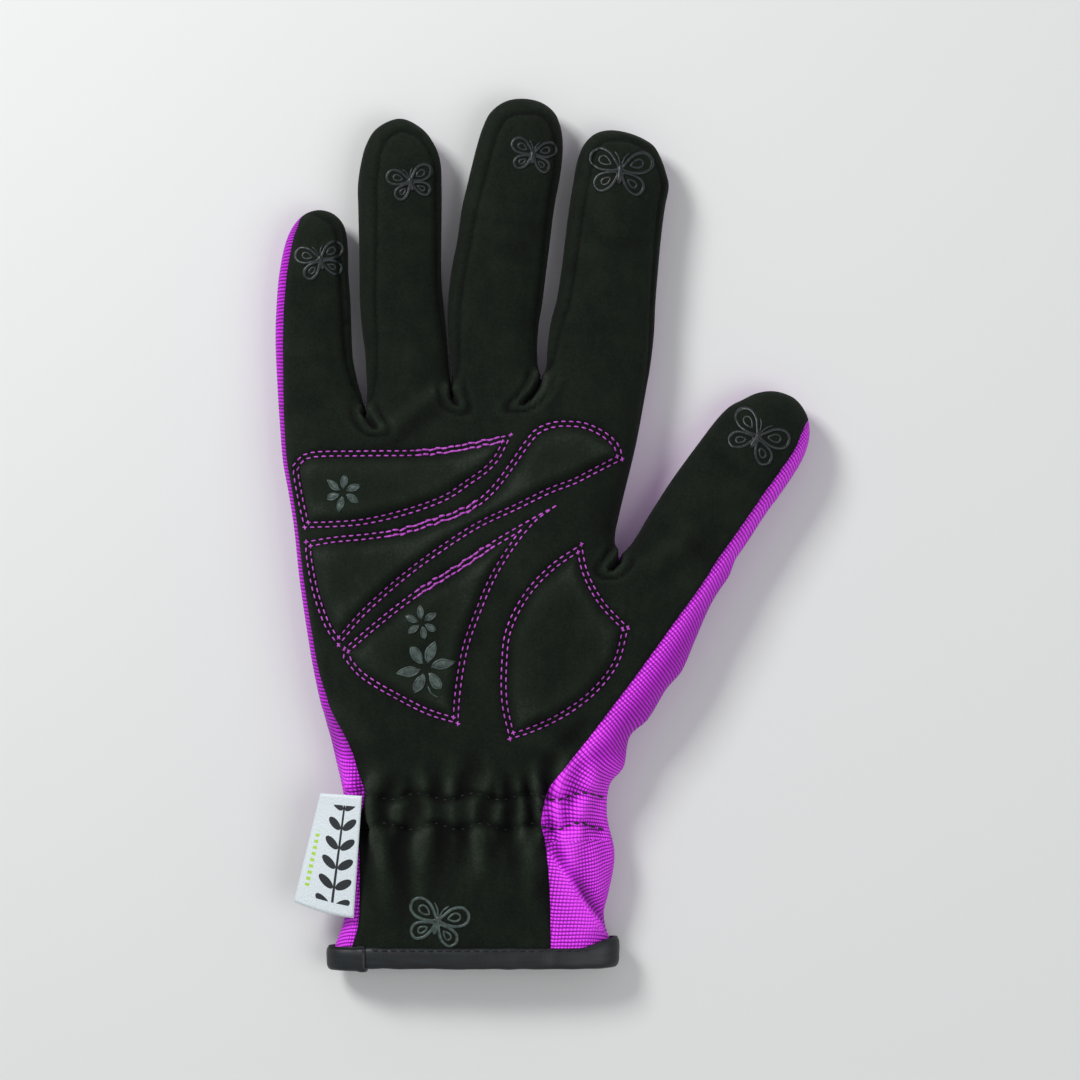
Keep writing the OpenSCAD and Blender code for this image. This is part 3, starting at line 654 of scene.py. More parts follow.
def root_tucks(points):
    """Short creases into the palm from where two fingers part, with the cloth bunched round them."""
    total = np.zeros(len(points))
    for crotch, direction, length in TUCKS:
        along, side = beside(points, crotch, direction)
        side = side - 0.05 * along ** 2 * np.sign(direction[0])
        fade = smooth(along / 1.5 + 0.6) * smooth((length - along) / 3)
        ring = np.hypot(side, np.clip(along - length + 2.5, 0, None))
        near = smooth((along + 3) / 3) * smooth((length + 6 - along) / 3)
        welt = 1.1 * bell(ring - 1.9, 0.9) - 0.75 * bell(ring - 3.5, 0.7) + 0.35 * bell(ring - 4.9, 1.0)
        total += near * welt - 2.2 * fade * bell(side, 0.8)
    return total


def soft_folds(points):
    """Low folds across the palm, each with a dip beside it."""
    total = np.zeros(len(points))
    for start, end, size, width in SOFT_FOLDS:
        along, side = beside(points, start, np.subtract(end, start))
        fade = smooth(along / 6) * smooth((math.dist(start, end) - along) / 6)
        total += size * fade * (bell(side, width) - 0.8 * bell(side + 1.6 * width, width))
    return total


def fold_place(points):
    """How far each point lies on the little finger's side of the cuff's fold, and how strong that is."""
    along, side = beside(points, FOLD[0], np.subtract(FOLD[-1], FOLD[0]))
    return -side, smooth(along / 6) * smooth((31.5 - along) / 6)


def cuff_fold(points):
    """The purple cloth's fold, slanting down the cuff: it rises slowly and drops sharply."""
    side, strength = fold_place(points)
    drop = 2.3 * bell(side, 0.7) - 0.6 * bell(side + 2.4, 2.0)
    return strength * np.where(side >= -0.05, 2.3 * bell(side, 5.5), drop)


def front_relief():
    """Everything that lifts or sinks the palm side."""
    inner = smooth(edge_distance / 5)
    near_tip = smooth(edge_distance / 0.8)
    relief = 0.22 * inner * ripples(flat, 26, 3) + 0.12 * inner * ripples(flat, 11, 4)
    for name in PADS:
        depth = pad_depth(flat, name)
        relief += 1.55 * smooth(depth / PAD_RISE)
        relief -= 0.55 * bell(np.abs(depth) - ROW_GAP, 0.42) + 0.35 * bell(depth, 2.2)
    relief += wrist_gathers(flat) * smooth(edge_distance / 2.5) + root_tucks(flat) + soft_folds(flat)
    relief += cuff_fold(flat) * smooth(edge_distance / 2)
    for line in front_seams:
        distance, _ = nearest(flat, line)
        relief -= 0.6 * bell(distance, 0.45) * near_tip
        relief += 0.16 * bell(distance - 1.4, 0.8) * near_tip
    for name, finger in FINGERS.items():
        base, up, _ = finger_frame(name)
        own = inside(flat, roots[name][1])
        for s, size in ((ROOT_BEND + 1, 0.10), (finger.crease, 0.14)):
            wave = (flat - base) @ up - s + 0.6 * ripples(flat, 14, 5)
            relief -= own * inner * size * (bell(wave, 1.6) - 0.6 * bell(np.abs(wave) - 3.6, 1.8))
    return relief


def back_relief():
    """Everything that lifts or sinks the back."""
    relief = 0.25 * smooth(edge_distance / 5) * ripples(flat, 24, 8)
    for line in back_seams:
        distance, _ = nearest(flat, line)
        relief -= 0.4 * bell(distance, 0.6) * smooth(edge_distance / 0.8)
    return relief + 0.6 * wrist_gathers(flat) * smooth(edge_distance / 2.5)


relief = np.concatenate([front_relief(), back_relief()])
shell += shell_normals(shell) * relief[:, None]
shell[:, 2] = np.maximum(shell[:, 2], LOWEST)
normal = shell_normals(shell)

# ------------------------------------------------------------------------------------------------
# Cloth coordinates, kept with each point so that weave and nap bend with the cloth
# ------------------------------------------------------------------------------------------------


def soft_normals():
    """The outline's inward direction beside each point, smoothed over its small bumps."""
    edge_normal = normals_of(outline)
    for axis in range(2):
        edge_normal[:, axis] = averaged(edge_normal[:, axis], 7)
    edge_normal /= np.linalg.norm(edge_normal, axis=1)[:, None] + 1e-9
    return edge_normal[[nearest_index(outline, foot) for foot in edge_foot]]


def weave_coordinates():
    """Where each point lies on the purple cloth: for faces on the back, on the front, and beyond the fold.

    The ribs run at equal first coordinate: straight across the back and the little finger's side, and square
    to the suede's edge where the cloth wraps round the thumb.
    """
    outward = -soft_normals()
    back = flat + outward * back_z[:, None]
    round_over = np.sqrt(1 - (1 - np.clip(edge_distance / 8, 0, 1)) ** 2)
    front = flat + outward * (7.5 * (1 - round_over))[:, None]
    lean = np.where(flat[:, 0] > -15, 90 - 46 * smooth((flat[:, 1] + 82) / 28), 90)
    wrap = turned(front - np.array([13.0, -68.0]), -np.radians(lean))
    folded = turned(wrap, -math.radians(11)) + np.array([0.4, 0.0])
    return back[:, ::-1], wrap, folded


def weave_cells_and_fold_shade():
    """How clearly the weave's cells show, near the suede's edge and on the slack cuff; with painted shade just
    past the cuff's fold, where they show less, and painted light on the flap above it.
    """
    seam_distance, _ = nearest(flat, thumb_seam)
    slack = 1 - smooth((flat[:, 1] + 66) / 8)
    side, strength = fold_place(flat)
    # Painted shade: a dark band just past the fold's sharp drop, and a painted lighter band on the flap above
    # it.
    shade = strength * (0.25 * bell(side - 2.5, 2.5) - 0.9 * bell(side + 1.6, 1.8))
    front = np.maximum(np.maximum(smooth(1 - (seam_distance - 1) / 4.5), slack) + shade, 0)
    return np.concatenate([front, np.full(N, 0.6)])


def standing_out(rounds=60):
    """How far each point stands out from the cloth round it, 0.5 where it does not: used as painted shade that
    darkens the creases and painted light that brightens the ridges.
    """
    a, b = np.vstack([triangles[:, [0, 1]], triangles[:, [1, 2]], triangles[:, [2, 0]]]).T
    count = np.maximum(np.bincount(a, minlength=N) + np.bincount(b, minlength=N), 1)
    level = relief.copy()
    for half in (slice(0, N), slice(N, 2 * N)):
        around = level[half].copy()
        for _ in range(rounds):
            total = np.bincount(a, around[b], N) + np.bincount(b, around[a], N)
            around = 0.5 * around + 0.5 * total / count
        level[half] -= around
    return np.clip(0.5 + 0.40 * level, 0, 1)


back_weave, front_weave, folded_weave = weave_coordinates()
# How clearly the weave's cells show, with painted shade beside the cuff's fold.
cells_and_fold_shade = weave_cells_and_fold_shade()
# Painted shade in the creases and painted light on the ridges, from how far each point stands out.
relief_shade = standing_out()

# ------------------------------------------------------------------------------------------------
# Blender pieces
# ------------------------------------------------------------------------------------------------


def linked(name, data):
    """A new object in the scene."""
    obj = bpy.data.objects.new(name, data)
    bpy.context.scene.collection.objects.link(obj)
    return obj


def new_object(name, points, faces, material):
    """A smooth-shaded mesh from points in millimetres."""
    mesh = bpy.data.meshes.new(name)
    mesh.from_pydata((np.asarray(points) * MM).tolist(), [], [tuple(int(i) for i in f) for f in faces])
    mesh.polygons.foreach_set("use_smooth", [True] * len(mesh.polygons))
    mesh.materials.append(material)
    return linked(name, mesh)


def store(mesh, name, kind, key, values):
    """Keeps a value with each point of a mesh."""
    layer = mesh.attributes.new(name, kind, "POINT")
    layer.data.foreach_set(key, np.asarray(values, np.float32).ravel())


def store_rest(obj, points):
    """Rest positions in millimetres, for textures that must not slide when the cloth bends."""
    store(obj.data, "rest", "FLOAT_VECTOR", "vector", points)


def loop_points(mesh):
    """The point that each face corner of a mesh stands on."""
    index = np.empty(len(mesh.loops), np.int32)
    mesh.loops.foreach_get("vertex_index", index)
    return index


def store_uv(mesh, name, uv):
    """Keeps a pair of texture coordinates with each face corner of a mesh."""
    mesh.uv_layers.new(name=name).data.foreach_set("uv", uv.astype(np.float32).ravel())


def boundary(faces):
    """Directed edges that only one face uses."""
    pairs = {(int(t[k]), int(t[(k + 1) % 3])) for t in faces for k in range(3)}
    return sorted((a, b) for a, b in pairs if (b, a) not in pairs)


def thickened(top, bottom, faces):
    """A closed sheet: its upper faces, the same faces below, and a rim round the edge."""
    count = len(top)
    upper = [tuple(f) for f in faces]
    lower = [tuple(i + count for i in reversed(f)) for f in upper]
    rim = [(b, a, a + count, b + count) for a, b in boundary(upper)]
    return np.vstack([top, bottom]), upper + lower + rim


def slab(top, columns, thick):
    """A closed sheet whose top is a grid of points, given row by row."""
    faces = []
    for j in range(len(top) // columns - 1):
        for a in range(j * columns, (j + 1) * columns - 1):
            faces += [(a, a + 1, a + columns + 1), (a, a + columns + 1, a + columns)]
    return thickened(top, top - np.array([0, 0, thick]), faces)


def tube_faces(count, sides, closed=False):
    """Faces of a tube of rings, with caps on its ends unless it closes on itself."""
    faces = []
    for i in range(count if closed else count - 1):
        here, there = i * sides, (i + 1) % count * sides
        for k in range(sides):
            after = (k + 1) % sides
            faces.append((here + k, there + k, there + after, here + after))
    if not closed:
        faces.append(tuple(range(sides)))
        faces.append(tuple(reversed(range((count - 1) * sides, count * sides))))
    return faces


def combine(parts):
    """Several (points, faces) as one."""
    points, faces = [], []
    for some_points, some_faces in parts:
        start = len(points)
        points += list(some_points)
        faces += [tuple(i + start for i in f) for f in some_faces]
    return points, faces


def cloth_piece(name, faces, material):
    """A closed sheet cut from the shell, its inner face CLOTH below the outer one; and its area."""
    used, local = np.unique(faces, return_inverse=True)
    local = local.reshape(faces.shape)
    count = len(used)
    outer = shell[used]
    points, all_faces = thickened(outer, outer - normal[used] * CLOTH, local)
    obj = new_object(name, points, all_faces, material)
    mesh = obj.data
    store_rest(obj, np.vstack([outer, outer]))
    # Per point: how clearly the weave's cells show, with painted shade at the cuff's fold; and painted shade
    # in creases with painted light on ridges.
    for key, table in (("cells_and_fold_shade", cells_and_fold_shade), ("relief_shade", relief_shade)):
        store(mesh, key, "FLOAT", "value", np.tile(table[used], 2))

    corner = loop_points(mesh)
    source = used[corner % count] % N
    uv = front_weave[source]
    sheet = slice(0, 2 * local.size)
    is_back = (faces >= N).any(1)
    beyond = ~is_back & inside(shell[faces][:, :, :2].mean(1), beyond_fold)
    for chosen, table in ((is_back, back_weave), (beyond, folded_weave)):
        loops = np.tile(np.repeat(chosen, 3), 2)
        uv[sheet][loops] = table[source[sheet][loops]]
    store_uv(mesh, "weave", uv)

    loop_normal = np.vstack([normal[used], -normal[used]])[corner]
    for k, (b, a, _, _) in enumerate(all_faces[2 * len(local):]):
        out = np.cross(normal[used[a]], points[b] - points[a])
        start = sheet.stop + 4 * k
        loop_normal[start:start + 4] = out / (np.linalg.norm(out) + 1e-9)
    mesh.normals_split_custom_set(loop_normal.tolist())
    a, b, c = (outer[local[:, k]] for k in range(3))
    return obj, float(np.linalg.norm(np.cross(b - a, c - a), axis=1).sum() / 2)


# ---- materials ---------------------------------------------------------------------------------


class Value:
    """A number that a material's nodes work out, so that it can be written with ordinary arithmetic."""

    def __init__(self, nodes, socket):
        self.nodes = nodes
        self.socket = socket

    def math(self, operation, other=0.0):
        node = self.nodes.add("ShaderNodeMath", {0: self, 1: other}, operation=operation)
        return Value(self.nodes, node.outputs[0])

    def __add__(self, other):
        return self.math("ADD", other)

    def __sub__(self, other):
        return self.math("SUBTRACT", other)

    def __mul__(self, other):
        return self.math("MULTIPLY", other)

    def __truediv__(self, other):
        return self.math("DIVIDE", other)

    def __pow__(self, other):
        return self.math("POWER", other)

    def __abs__(self):
        return self.math("ABSOLUTE")

    def __lt__(self, other):
        return self.math("LESS_THAN", other)

    def fraction(self):
        return self.math("FRACT")

    def arch(self):
        """Up and down again, once in every whole number."""
        return (self.fraction() * math.pi).math("SINE")

    def waves(self, count):
        """A sine with count waves in every whole number."""
        return (self * (2 * math.pi * count)).math("SINE")


class Nodes:
    """A small helper that builds one material's node tree."""

    def __init__(self, name):
        self.material = bpy.data.materials.new(name)
        self.material.use_nodes = True
        self.tree = self.material.node_tree
        self.shader = self.tree.nodes["Principled BSDF"]

    def add(self, kind, inputs=None, **settings):
        node = self.tree.nodes.new(kind)
        for key, value in settings.items():
            setattr(node, key, value)
        for key, value in (inputs or {}).items():
            self.feed(node.inputs[key], value)
        return node

    def feed(self, socket, value):
        value = value.socket if isinstance(value, Value) else value
        if isinstance(value, bpy.types.NodeSocket):
            self.tree.links.new(value, socket)
        else:
            socket.default_value = value

    def noise(self, vector, scale, detail=2.0, roughness=0.5):
        inputs = {"Vector": vector, "Scale": scale, "Detail": detail, "Roughness": roughness}
        return Value(self, self.add("ShaderNodeTexNoise", inputs).outputs["Fac"])

    def colours(self, factor, *stops):
        """A colour ramp through stops of (position, hex code)."""
        ramp = self.add("ShaderNodeValToRGB", {"Fac": factor})
        while len(ramp.color_ramp.elements) < len(stops):
            ramp.color_ramp.elements.new(0.5)
        for element, (position, code) in zip(ramp.color_ramp.elements, stops):
            element.position = position
            element.color = (*rgb(code), 1.0)
        return ramp.outputs["Color"]

    def mixed(self, factor, a, b):
        node = self.add("ShaderNodeMix", data_type="RGBA")
        self.feed(node.inputs[0], factor)
        for socket, value in zip([s for s in node.inputs if s.type == "RGBA"], (a, b)):
            self.feed(socket, (*value, 1.0) if isinstance(value, tuple) else value)
        return next(s for s in node.outputs if s.type == "RGBA")

    def attribute(self, name):
        return Value(self, self.add("ShaderNodeAttribute", attribute_name=name).outputs["Fac"])

    def rest(self):
        return self.add("ShaderNodeAttribute", attribute_name="rest").outputs["Vector"]

    def place(self):
        return self.add("ShaderNodeTexCoord").outputs["Object"]

    def uv(self, name):
        return self.add("ShaderNodeUVMap", uv_map=name).outputs["UV"]

    def parts(self, vector):
        """The first and second numbers of a vector."""
        split = self.add("ShaderNodeSeparateXYZ", {"Vector": vector})
        return Value(self, split.outputs["X"]), Value(self, split.outputs["Y"])

    def scaled(self, vector, scale):
        return self.add("ShaderNodeMapping", {"Vector": vector, "Scale": scale}).outputs[0]

    def bump(self, height, distance, strength=1.0):
        node = self.add("ShaderNodeBump", {"Height": height, "Distance": distance, "Strength": strength})
        self.feed(self.shader.inputs["Normal"], node.outputs["Normal"])

    def surface(self, **values):
        for key, value in values.items():
            socket = self.shader.inputs[key.replace("_", " ").title().replace("Ior", "IOR")]
            self.feed(socket, (*value, 1.0) if isinstance(value, tuple) and len(value) == 3 else value)


def rgb(code):
    """Linear colour from a hex code."""
    parts = [int(code[i:i + 2], 16) / 255 for i in (0, 2, 4)]
    return tuple(c / 12.92 if c <= 0.04045 else ((c + 0.055) / 1.055) ** 2.4 for c in parts)


def suede(name):
    """Brushed microfibre: soft patches where the nap lies differently, over a fine grain, with painted shade
    in the creases and painted light on the ridges.
    """
    m = Nodes(name)
    at = m.rest()
    patches = m.noise(at, 0.09, 5.0, 0.62)
    streaks = m.noise(m.scaled(at, (0.9, 0.35, 0.9)), 0.5, 4.0, 0.6)
    grain = m.noise(at, 1.5, 4.0, 0.68)
    fibre = m.noise(at, 5.0, 3.0, 0.7)
    # The nap's colour, plus painted shade in the creases and painted light on the ridges.
    nap_and_shade = patches * 0.30 + grain * 0.36 + fibre * 0.20 + streaks * 0.14 + (m.attribute("relief_shade") - 0.5) * 0.5
    colour = m.colours(nap_and_shade, (0.20, "030403"), (0.38, "080b08"), (0.64, "171e16"), (0.9, "30362f"))
    m.surface(base_color=colour, roughness=0.95, specular_ior_level=0.12)
    m.surface(sheen_weight=0.03, sheen_roughness=0.5, sheen_tint=(0.70, 0.80, 0.68))
    m.bump(grain * 0.6 + fibre * 0.4, 0.00025)
    return m.material


def foam(name):
    """Open-cell foam."""
    m = Nodes(name)
    cells = m.noise(m.rest(), 2.2, 4.0, 0.7)
    m.surface(base_color=m.colours(cells, (0.3, "8a8a84"), (0.7, "b0b0a8")), roughness=0.95)
    m.bump(cells, 0.0003, 0.8)
    return m.material


def weave(name):
    """Ribbed stretch weave: raised ribs with a basket of small cells, brighter where the cells show clearly;
    painted shade darkens it beside the cuff's fold.
    """
    m = Nodes(name)
    uv = m.uv("weave")
    u, v = m.parts(uv)
    cells_and_fold_shade = m.attribute("cells_and_fold_shade")
    rib_at = (u + (m.noise(uv, 0.10) - 0.5) * 0.9) / WEAVE_PITCH
    cell = (v / (WEAVE_PITCH * 0.95) + rib_at.math("FLOOR") * 0.12).arch()
    soft_rib = rib_at.arch() ** 0.75
    basket = soft_rib * (cell * 0.62 + 0.42)
    stretched = soft_rib * (cell * 0.10 + 0.82)
    height = basket * cells_and_fold_shade + stretched * (cells_and_fold_shade * -1.0 + 1.0)
    # Brightness of the ribs, with painted shade beside the cuff's fold, and painted shade in creases with
    # painted light on ridges.
    lit = height * (cells_and_fold_shade * 0.56 + 0.58) + (m.attribute("relief_shade") - 0.5) * 0.5
    lit = lit - 0.05 + m.noise(uv, 0.9, 3.0) * 0.16
    colour = m.colours(lit, (0.02, "4a0853"), (0.35, "9812a8"), (0.66, "cf22e6"), (1.0, "f048ff"))
    m.surface(base_color=colour, roughness=0.6, specular_ior_level=0.3)
    m.surface(sheen_weight=0.03, sheen_roughness=0.35, sheen_tint=(0.9, 0.6, 1.0))
    m.bump(height, 0.00035)
    return m.material


def thread(name, dark, light, roughness):
    """Twisted sewing thread."""
    m = Nodes(name)
    at = m.place()
    fine = m.noise(at, 2600.0)
    colour = m.colours(fine * 0.6 + m.noise(at, 160.0) * 0.4, (0.3, dark), (0.7, light))
    m.surface(base_color=colour, roughness=roughness, sheen_weight=0.2, sheen_roughness=0.3)
    m.bump(fine, 0.00006, 0.6)
    return m.material


def tape(name, dark, light, roughness, pitch):
    """Woven tape: very fine ribs across its length, which runs along X."""
    m = Nodes(name)
    at = m.place()
    along, _ = m.parts(at)
    height = along.waves(1 / pitch) * 0.12 + m.noise(m.scaled(at, (0.3, 3.0, 1.0)), 350.0, 3.0) * 0.9
    m.surface(base_color=m.colours(height, (0.25, dark), (0.75, light)), roughness=roughness)
    m.surface(specular_ior_level=0.35, sheen_weight=0.03, sheen_roughness=0.3)
    m.bump(height, 0.00006, 0.6)
    return m.material


def printed_label(name):
    """Pale satin with a woven leaf sprig and a row of small squares; 'label' coordinates run 0 to 1."""
    m = Nodes(name)
    uv = m.uv("label")
    u, v = m.parts(uv)
    cloth = v.waves(85) * 0.25 + u.waves(40) * 0.2
    satin = m.noise(uv, 60.0, 3.0) + cloth * 0.35
    pale = m.colours(satin, (0.1, "a9b3b8"), (0.5, "c9d2d6"), (0.9, "e2e9ec"))
    # A pair of leaves repeats along the stem: each is an ellipse leaning up the stem
    from_stem = abs(u - 0.62)
    side = from_stem - 0.16
    step = ((v * 6.0).fraction() - 0.5) * 0.36
    along_leaf = side * 0.80 + step * 0.60
    across_leaf = step * 0.80 - side * 0.60
    leaf = (along_leaf / 0.165) ** 2.0 + (across_leaf / 0.075) ** 2.0 < 1.0
    dark = leaf.math("MAXIMUM", from_stem < 0.022) * (abs(v - 0.5) < 0.41)
    lime = (abs(u - 0.15) < 0.04) * ((v * 18.0).fraction() < 0.5) * (abs(v - 0.42) < 0.25)
    m.surface(base_color=m.mixed(lime, m.mixed(dark, pale, rgb("202427")), rgb("9fc640")), roughness=0.5)
    m.surface(specular_ior_level=0.4, sheen_weight=0.1, sheen_roughness=0.3)
    m.bump(cloth + dark * 0.8, 0.00006, 0.7)
    return m.material


def silicone(name, dark, light):
    """Glossy silicone print, slightly uneven."""
    m = Nodes(name)
    uneven = m.noise(m.place(), 700.0)
    m.surface(base_color=m.colours(uneven, (0.3, dark), (0.7, light)), roughness=0.42)
    m.surface(specular_ior_level=0.35, coat_weight=0.1, coat_roughness=0.25)
    m.bump(uneven, 0.00035, 0.7)
    return m.material


SUEDE = suede("suede")
FOAM = foam("pad_foam")
WEAVE = weave("purple_weave")
PURPLE_THREAD = thread("purple_thread", "7d2084", "c455cc", 0.55)
BLACK_THREAD = thread("black_thread", "08090a", "14171a", 0.7)
BINDING = tape("binding_satin", "0c0f11", "1d2225", 0.45, 0.0007)
ELASTIC = tape("elastic_band", "1a1a1c", "303033", 0.7, 0.0009)
SILICONE = silicone("silicone_print", "0b0f0f", "181f1f")
# A paler print: the flowers' own colour, and on the cuff's butterfly a painted highlight that stands in for
# its glints.
PALE_AND_GLINT_SILICONE = silicone("pale_print_and_glint_silicone", "222b29", "43524d")
LABEL = printed_label("label_satin")

# ---- cloth panels ------------------------------------------------------------------------------

BEND_Z = 14.9  # height of the fingers' bends
CLOTHS = {"palm": (SUEDE, "suede"), "back": (WEAVE, "woven_back"), "gusset": (SUEDE, "suede")}
HAND_PANELS = {
    "hand_palm": ("palm", ["palm_panel", "root_palm_faces"]),
    "hand_back": ("back", ["back_panel", "root_back_faces"]),
    "hand_gussets": ("gusset", ["root_gussets"]),
}

in_gusset_front = np.any([inside(middle_of, area) for _, area in gussets_front.values()], axis=0)
in_gusset_back = np.any([inside(middle_of, area) for _, area in gussets_back.values()], axis=0)
in_finger = {name: inside(middle_of, area) for name, (_, area) in roots.items()}
in_tip = {name: inside(middle_of, area) & in_finger[name] for name, (_, area) in tips.items()}
in_hand = ~np.any(list(in_finger.values()), axis=0)
is_wrap = inside(middle_of, thumb_wrap_area) | inside(middle_of, little_wrap_area)
is_gusset = in_gusset_front & ~is_wrap


def declare(obj, nodes=(), body=None):
    """Hides the frame's nodes that a piece replaces and hangs it on the body it rides, when given."""
    if nodes:
        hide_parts(*nodes)
    if body:
        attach(obj, body)
    return obj


def blend_at_bend(obj, name, crease, reach):
    """Works out the ends of a bend within reach of a crease on a finger's middle line, but only bakes the
    piece's transform into its mesh.
    """
    base, up, _ = finger_frame(name)
    start, end = ((*((base + up * s) * MM), BEND_Z * MM) for s in (crease - reach, crease + reach))
    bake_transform(obj)


def panel_faces(where, cloth):
    """The shell's faces of one cloth inside a region of the drawing."""
    if cloth == "palm":
        return front_faces[where & ~is_wrap & ~is_gusset]
    if cloth == "gusset":
        return np.vstack([front_faces[where & is_gusset], back_faces[where & in_gusset_back]])
    return np.vstack([front_faces[where & is_wrap], back_faces[where & ~in_gusset_back]])


def cut_size(area, extent):
    """Width and length of the smallest rectangle that a flat piece of this area and extent is cut from."""
    length = extent[1] * 1.03
    width = max(extent[0] * 1.02, area / length / 0.97)
    if area < 0.32 * length * width:
        width = area / length / 0.4
    return max(width, 10.2), length


def panel(name, where, cloth, nodes):
    """One cut piece of cloth, put in place of its frame nodes; the size of its flat pattern is worked out but
    not kept.
    """
    material, slot = CLOTHS[cloth]
    faces = panel_faces(where, cloth)
    obj, area = cloth_piece(name, faces, material)
    width, length = cut_size(area, np.ptp(shell[np.unique(faces)], axis=0))
    area = min(area, 0.98 * length * width)
    declare(obj, nodes)
    width * MM
    length * MM
    area * MM * MM
    return obj


def finger_panels(name):
    """A finger's cloths, cut in two at the middle bend; the thumb has no gussets."""
    finger = FINGERS[name]
    low, tip = f"{name}_lower", f"{name}_tip"
    for part, where, bodies, crease, reach in (
        (low, in_finger[name] & ~in_tip[name], ("hand", low), ROOT_BEND, ROOT_REACH),
        (tip, in_tip[name], (low, tip), finger.crease, finger.reach),
    ):
        for cloth in ("palm", "back") if name == "thumb" else CLOTHS:
            node = f"{part}_{cloth}"
            blend_at_bend(panel(node + "_cloth", where, cloth, [node]), name, crease, reach)


for panel_name, (panel_cloth, panel_nodes) in HAND_PANELS.items():
    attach(panel(panel_name, in_hand, panel_cloth, panel_nodes), "hand")
for finger_name in FINGERS:
    finger_panels(finger_name)

# ---- stitches, on the finished palm side -------------------------------------------------------

ABOVE = 60  # clear of everything, to look straight down on the palm side from
STITCH_ALONG = np.array([-1.0, -0.72, -0.3, 0.3, 0.72, 1.0])  # rings of a stitch, in half lengths
STITCH_GIRTH = np.array([0.35, 0.85, 1.0, 1.0, 0.85, 0.35])
STITCH_SIDES = 6

front_tree = BVHTree.FromPolygons(shell.tolist(), front_faces.tolist())
back_tree = BVHTree.FromPolygons(shell.tolist(), back_faces.tolist())


def on_front(points):
    """Heights and normals of the palm side under the given points."""
    heights = np.zeros(len(points))
    normals = np.zeros((len(points), 3))
    for i, (x, y) in enumerate(points):
        hit, up, _, _ = front_tree.ray_cast(Vector((x, y, ABOVE)), Vector((0, 0, -1)))
        if hit is None:
            hit, up, _, _ = front_tree.find_nearest(Vector((x, y, 12)))
        heights[i] = hit.z
        normals[i] = up
    return heights, normals


def stitch(middle, ahead, length, thick, lift, drop):
    """One arched stitch on the palm side; its ends dip into the cloth."""
    d = (ahead - middle) / (np.linalg.norm(ahead - middle) + 1e-9)
    side = np.array([-d[1], d[0]])
    spots = middle + np.outer(STITCH_ALONG * length / 2, d)
    z = on_front(spots)[0] + lift + thick * 0.18 - drop * STITCH_ALONG ** 4
    points = []
    for spot, height, girth in zip(spots, z, STITCH_GIRTH):
        r = thick / 2 * girth
        for a in np.linspace(0, 2 * math.pi, STITCH_SIDES, endpoint=False):
            x, y = spot + side * r * math.cos(a)
            points.append((x, y, height + r * math.sin(a)))
    return points, tube_faces(len(STITCH_ALONG), STITCH_SIDES)


def stitch_row(line, pitch, length, thick, lift=0.0, drop=0.3):
    """Stitches along a line on the palm side, their ends lower than their middles by drop."""
    path = evenly(line, pitch)
    ahead = np.vstack([path[1:], 2 * path[-1:] - path[-2:-1]])
    return combine([stitch(a, b, length, thick, lift, drop) for a, b in zip(path, ahead)])


def pad_rows():
    """Both rows of every pad, and over them the second stitches where a pad is sewn twice."""
    rows = []
    for name, loop in pad_loops.items():
        both = (loop, moved_in(loop, 2 * ROW_GAP))
        rows += [stitch_row(line, 2.1, 1.5, 0.46) for row in both for line in row]
        for own, side, start, end in OVERSEWN:
            for row in both if own == name else ():
                first, last = sorted(nearest_index(row[side], point) for point in (start, end))
                stretch = row[side][first:last + 1]
                sway = 0.22 * np.sin(np.arange(len(stretch)) * 1.9)
                swaying = stretch + normals_of(stretch) * sway[:, None]
                rows.append(stitch_row(swaying, 1.9, 1.7, 0.6, lift=0.1))
    return combine(rows)


pad_stitches = new_object("pad_stitches", *pad_rows(), PURPLE_THREAD)
declare(pad_stitches, ["pad_stitching"], "hand")

# ---- foam pads under the suede -----------------------------------------------------------------


def foam_pad(name):
    """The pad's foam: its top follows the underside of the suede, its foot is flat to the glove's inside."""
    faces = front_faces[inside(middle_of, pad_lines[name])]
    used, local = np.unique(faces, return_inverse=True)
    top = shell[used] - normal[used] * (CLOTH + 0.05)
    rise = 0.25 + 1.9 * smooth(np.abs(pad_depth(flat[used], name)) / PAD_RISE)
    points, faces = thickened(top, top - normal[used] * rise[:, None], local.reshape(faces.shape))
    obj = new_object(name + "_foam", points, faces, FOAM)
    store_rest(obj, points)
    return obj


for pad_name in PADS:
    pad = declare(foam_pad(pad_name), [pad_name + "_pad"], "hand")

# ---- silicone grips ----------------------------------------------------------------------------

UPPER_WING = [
    (0.06, 0.05), (0.18, 0.28), (0.42, 0.56), (0.74, 0.66), (0.98, 0.50), (1.0, 0.22), (0.78, 0.02),
    (0.40, -0.04),
]
LOWER_WING = [
    (0.08, -0.10), (0.44, -0.12), (0.74, -0.28), (0.80, -0.54), (0.60, -0.74), (0.32, -0.62), (0.14, -0.34),
]
FEELER = [(0.02, 0.16), (0.10, 0.42), (0.26, 0.62)]
FINE = 0.06  # from point to point along a butterfly's lines, before it gets its size
# A butterfly on every fingertip: centre, size, turn
GRIPS = {
    "little": ((-60.9, 75.2), 6.4, 12),
    "ring": ((-36.2, 96.6), 6.0, 12),
    "middle": ((-2.6, 104.0), 6.0, -8),
    "index": ((21.3, 99.6), 8.4, -6),
    "thumb": ((58.8, 26.6), 8.0, -32),
}


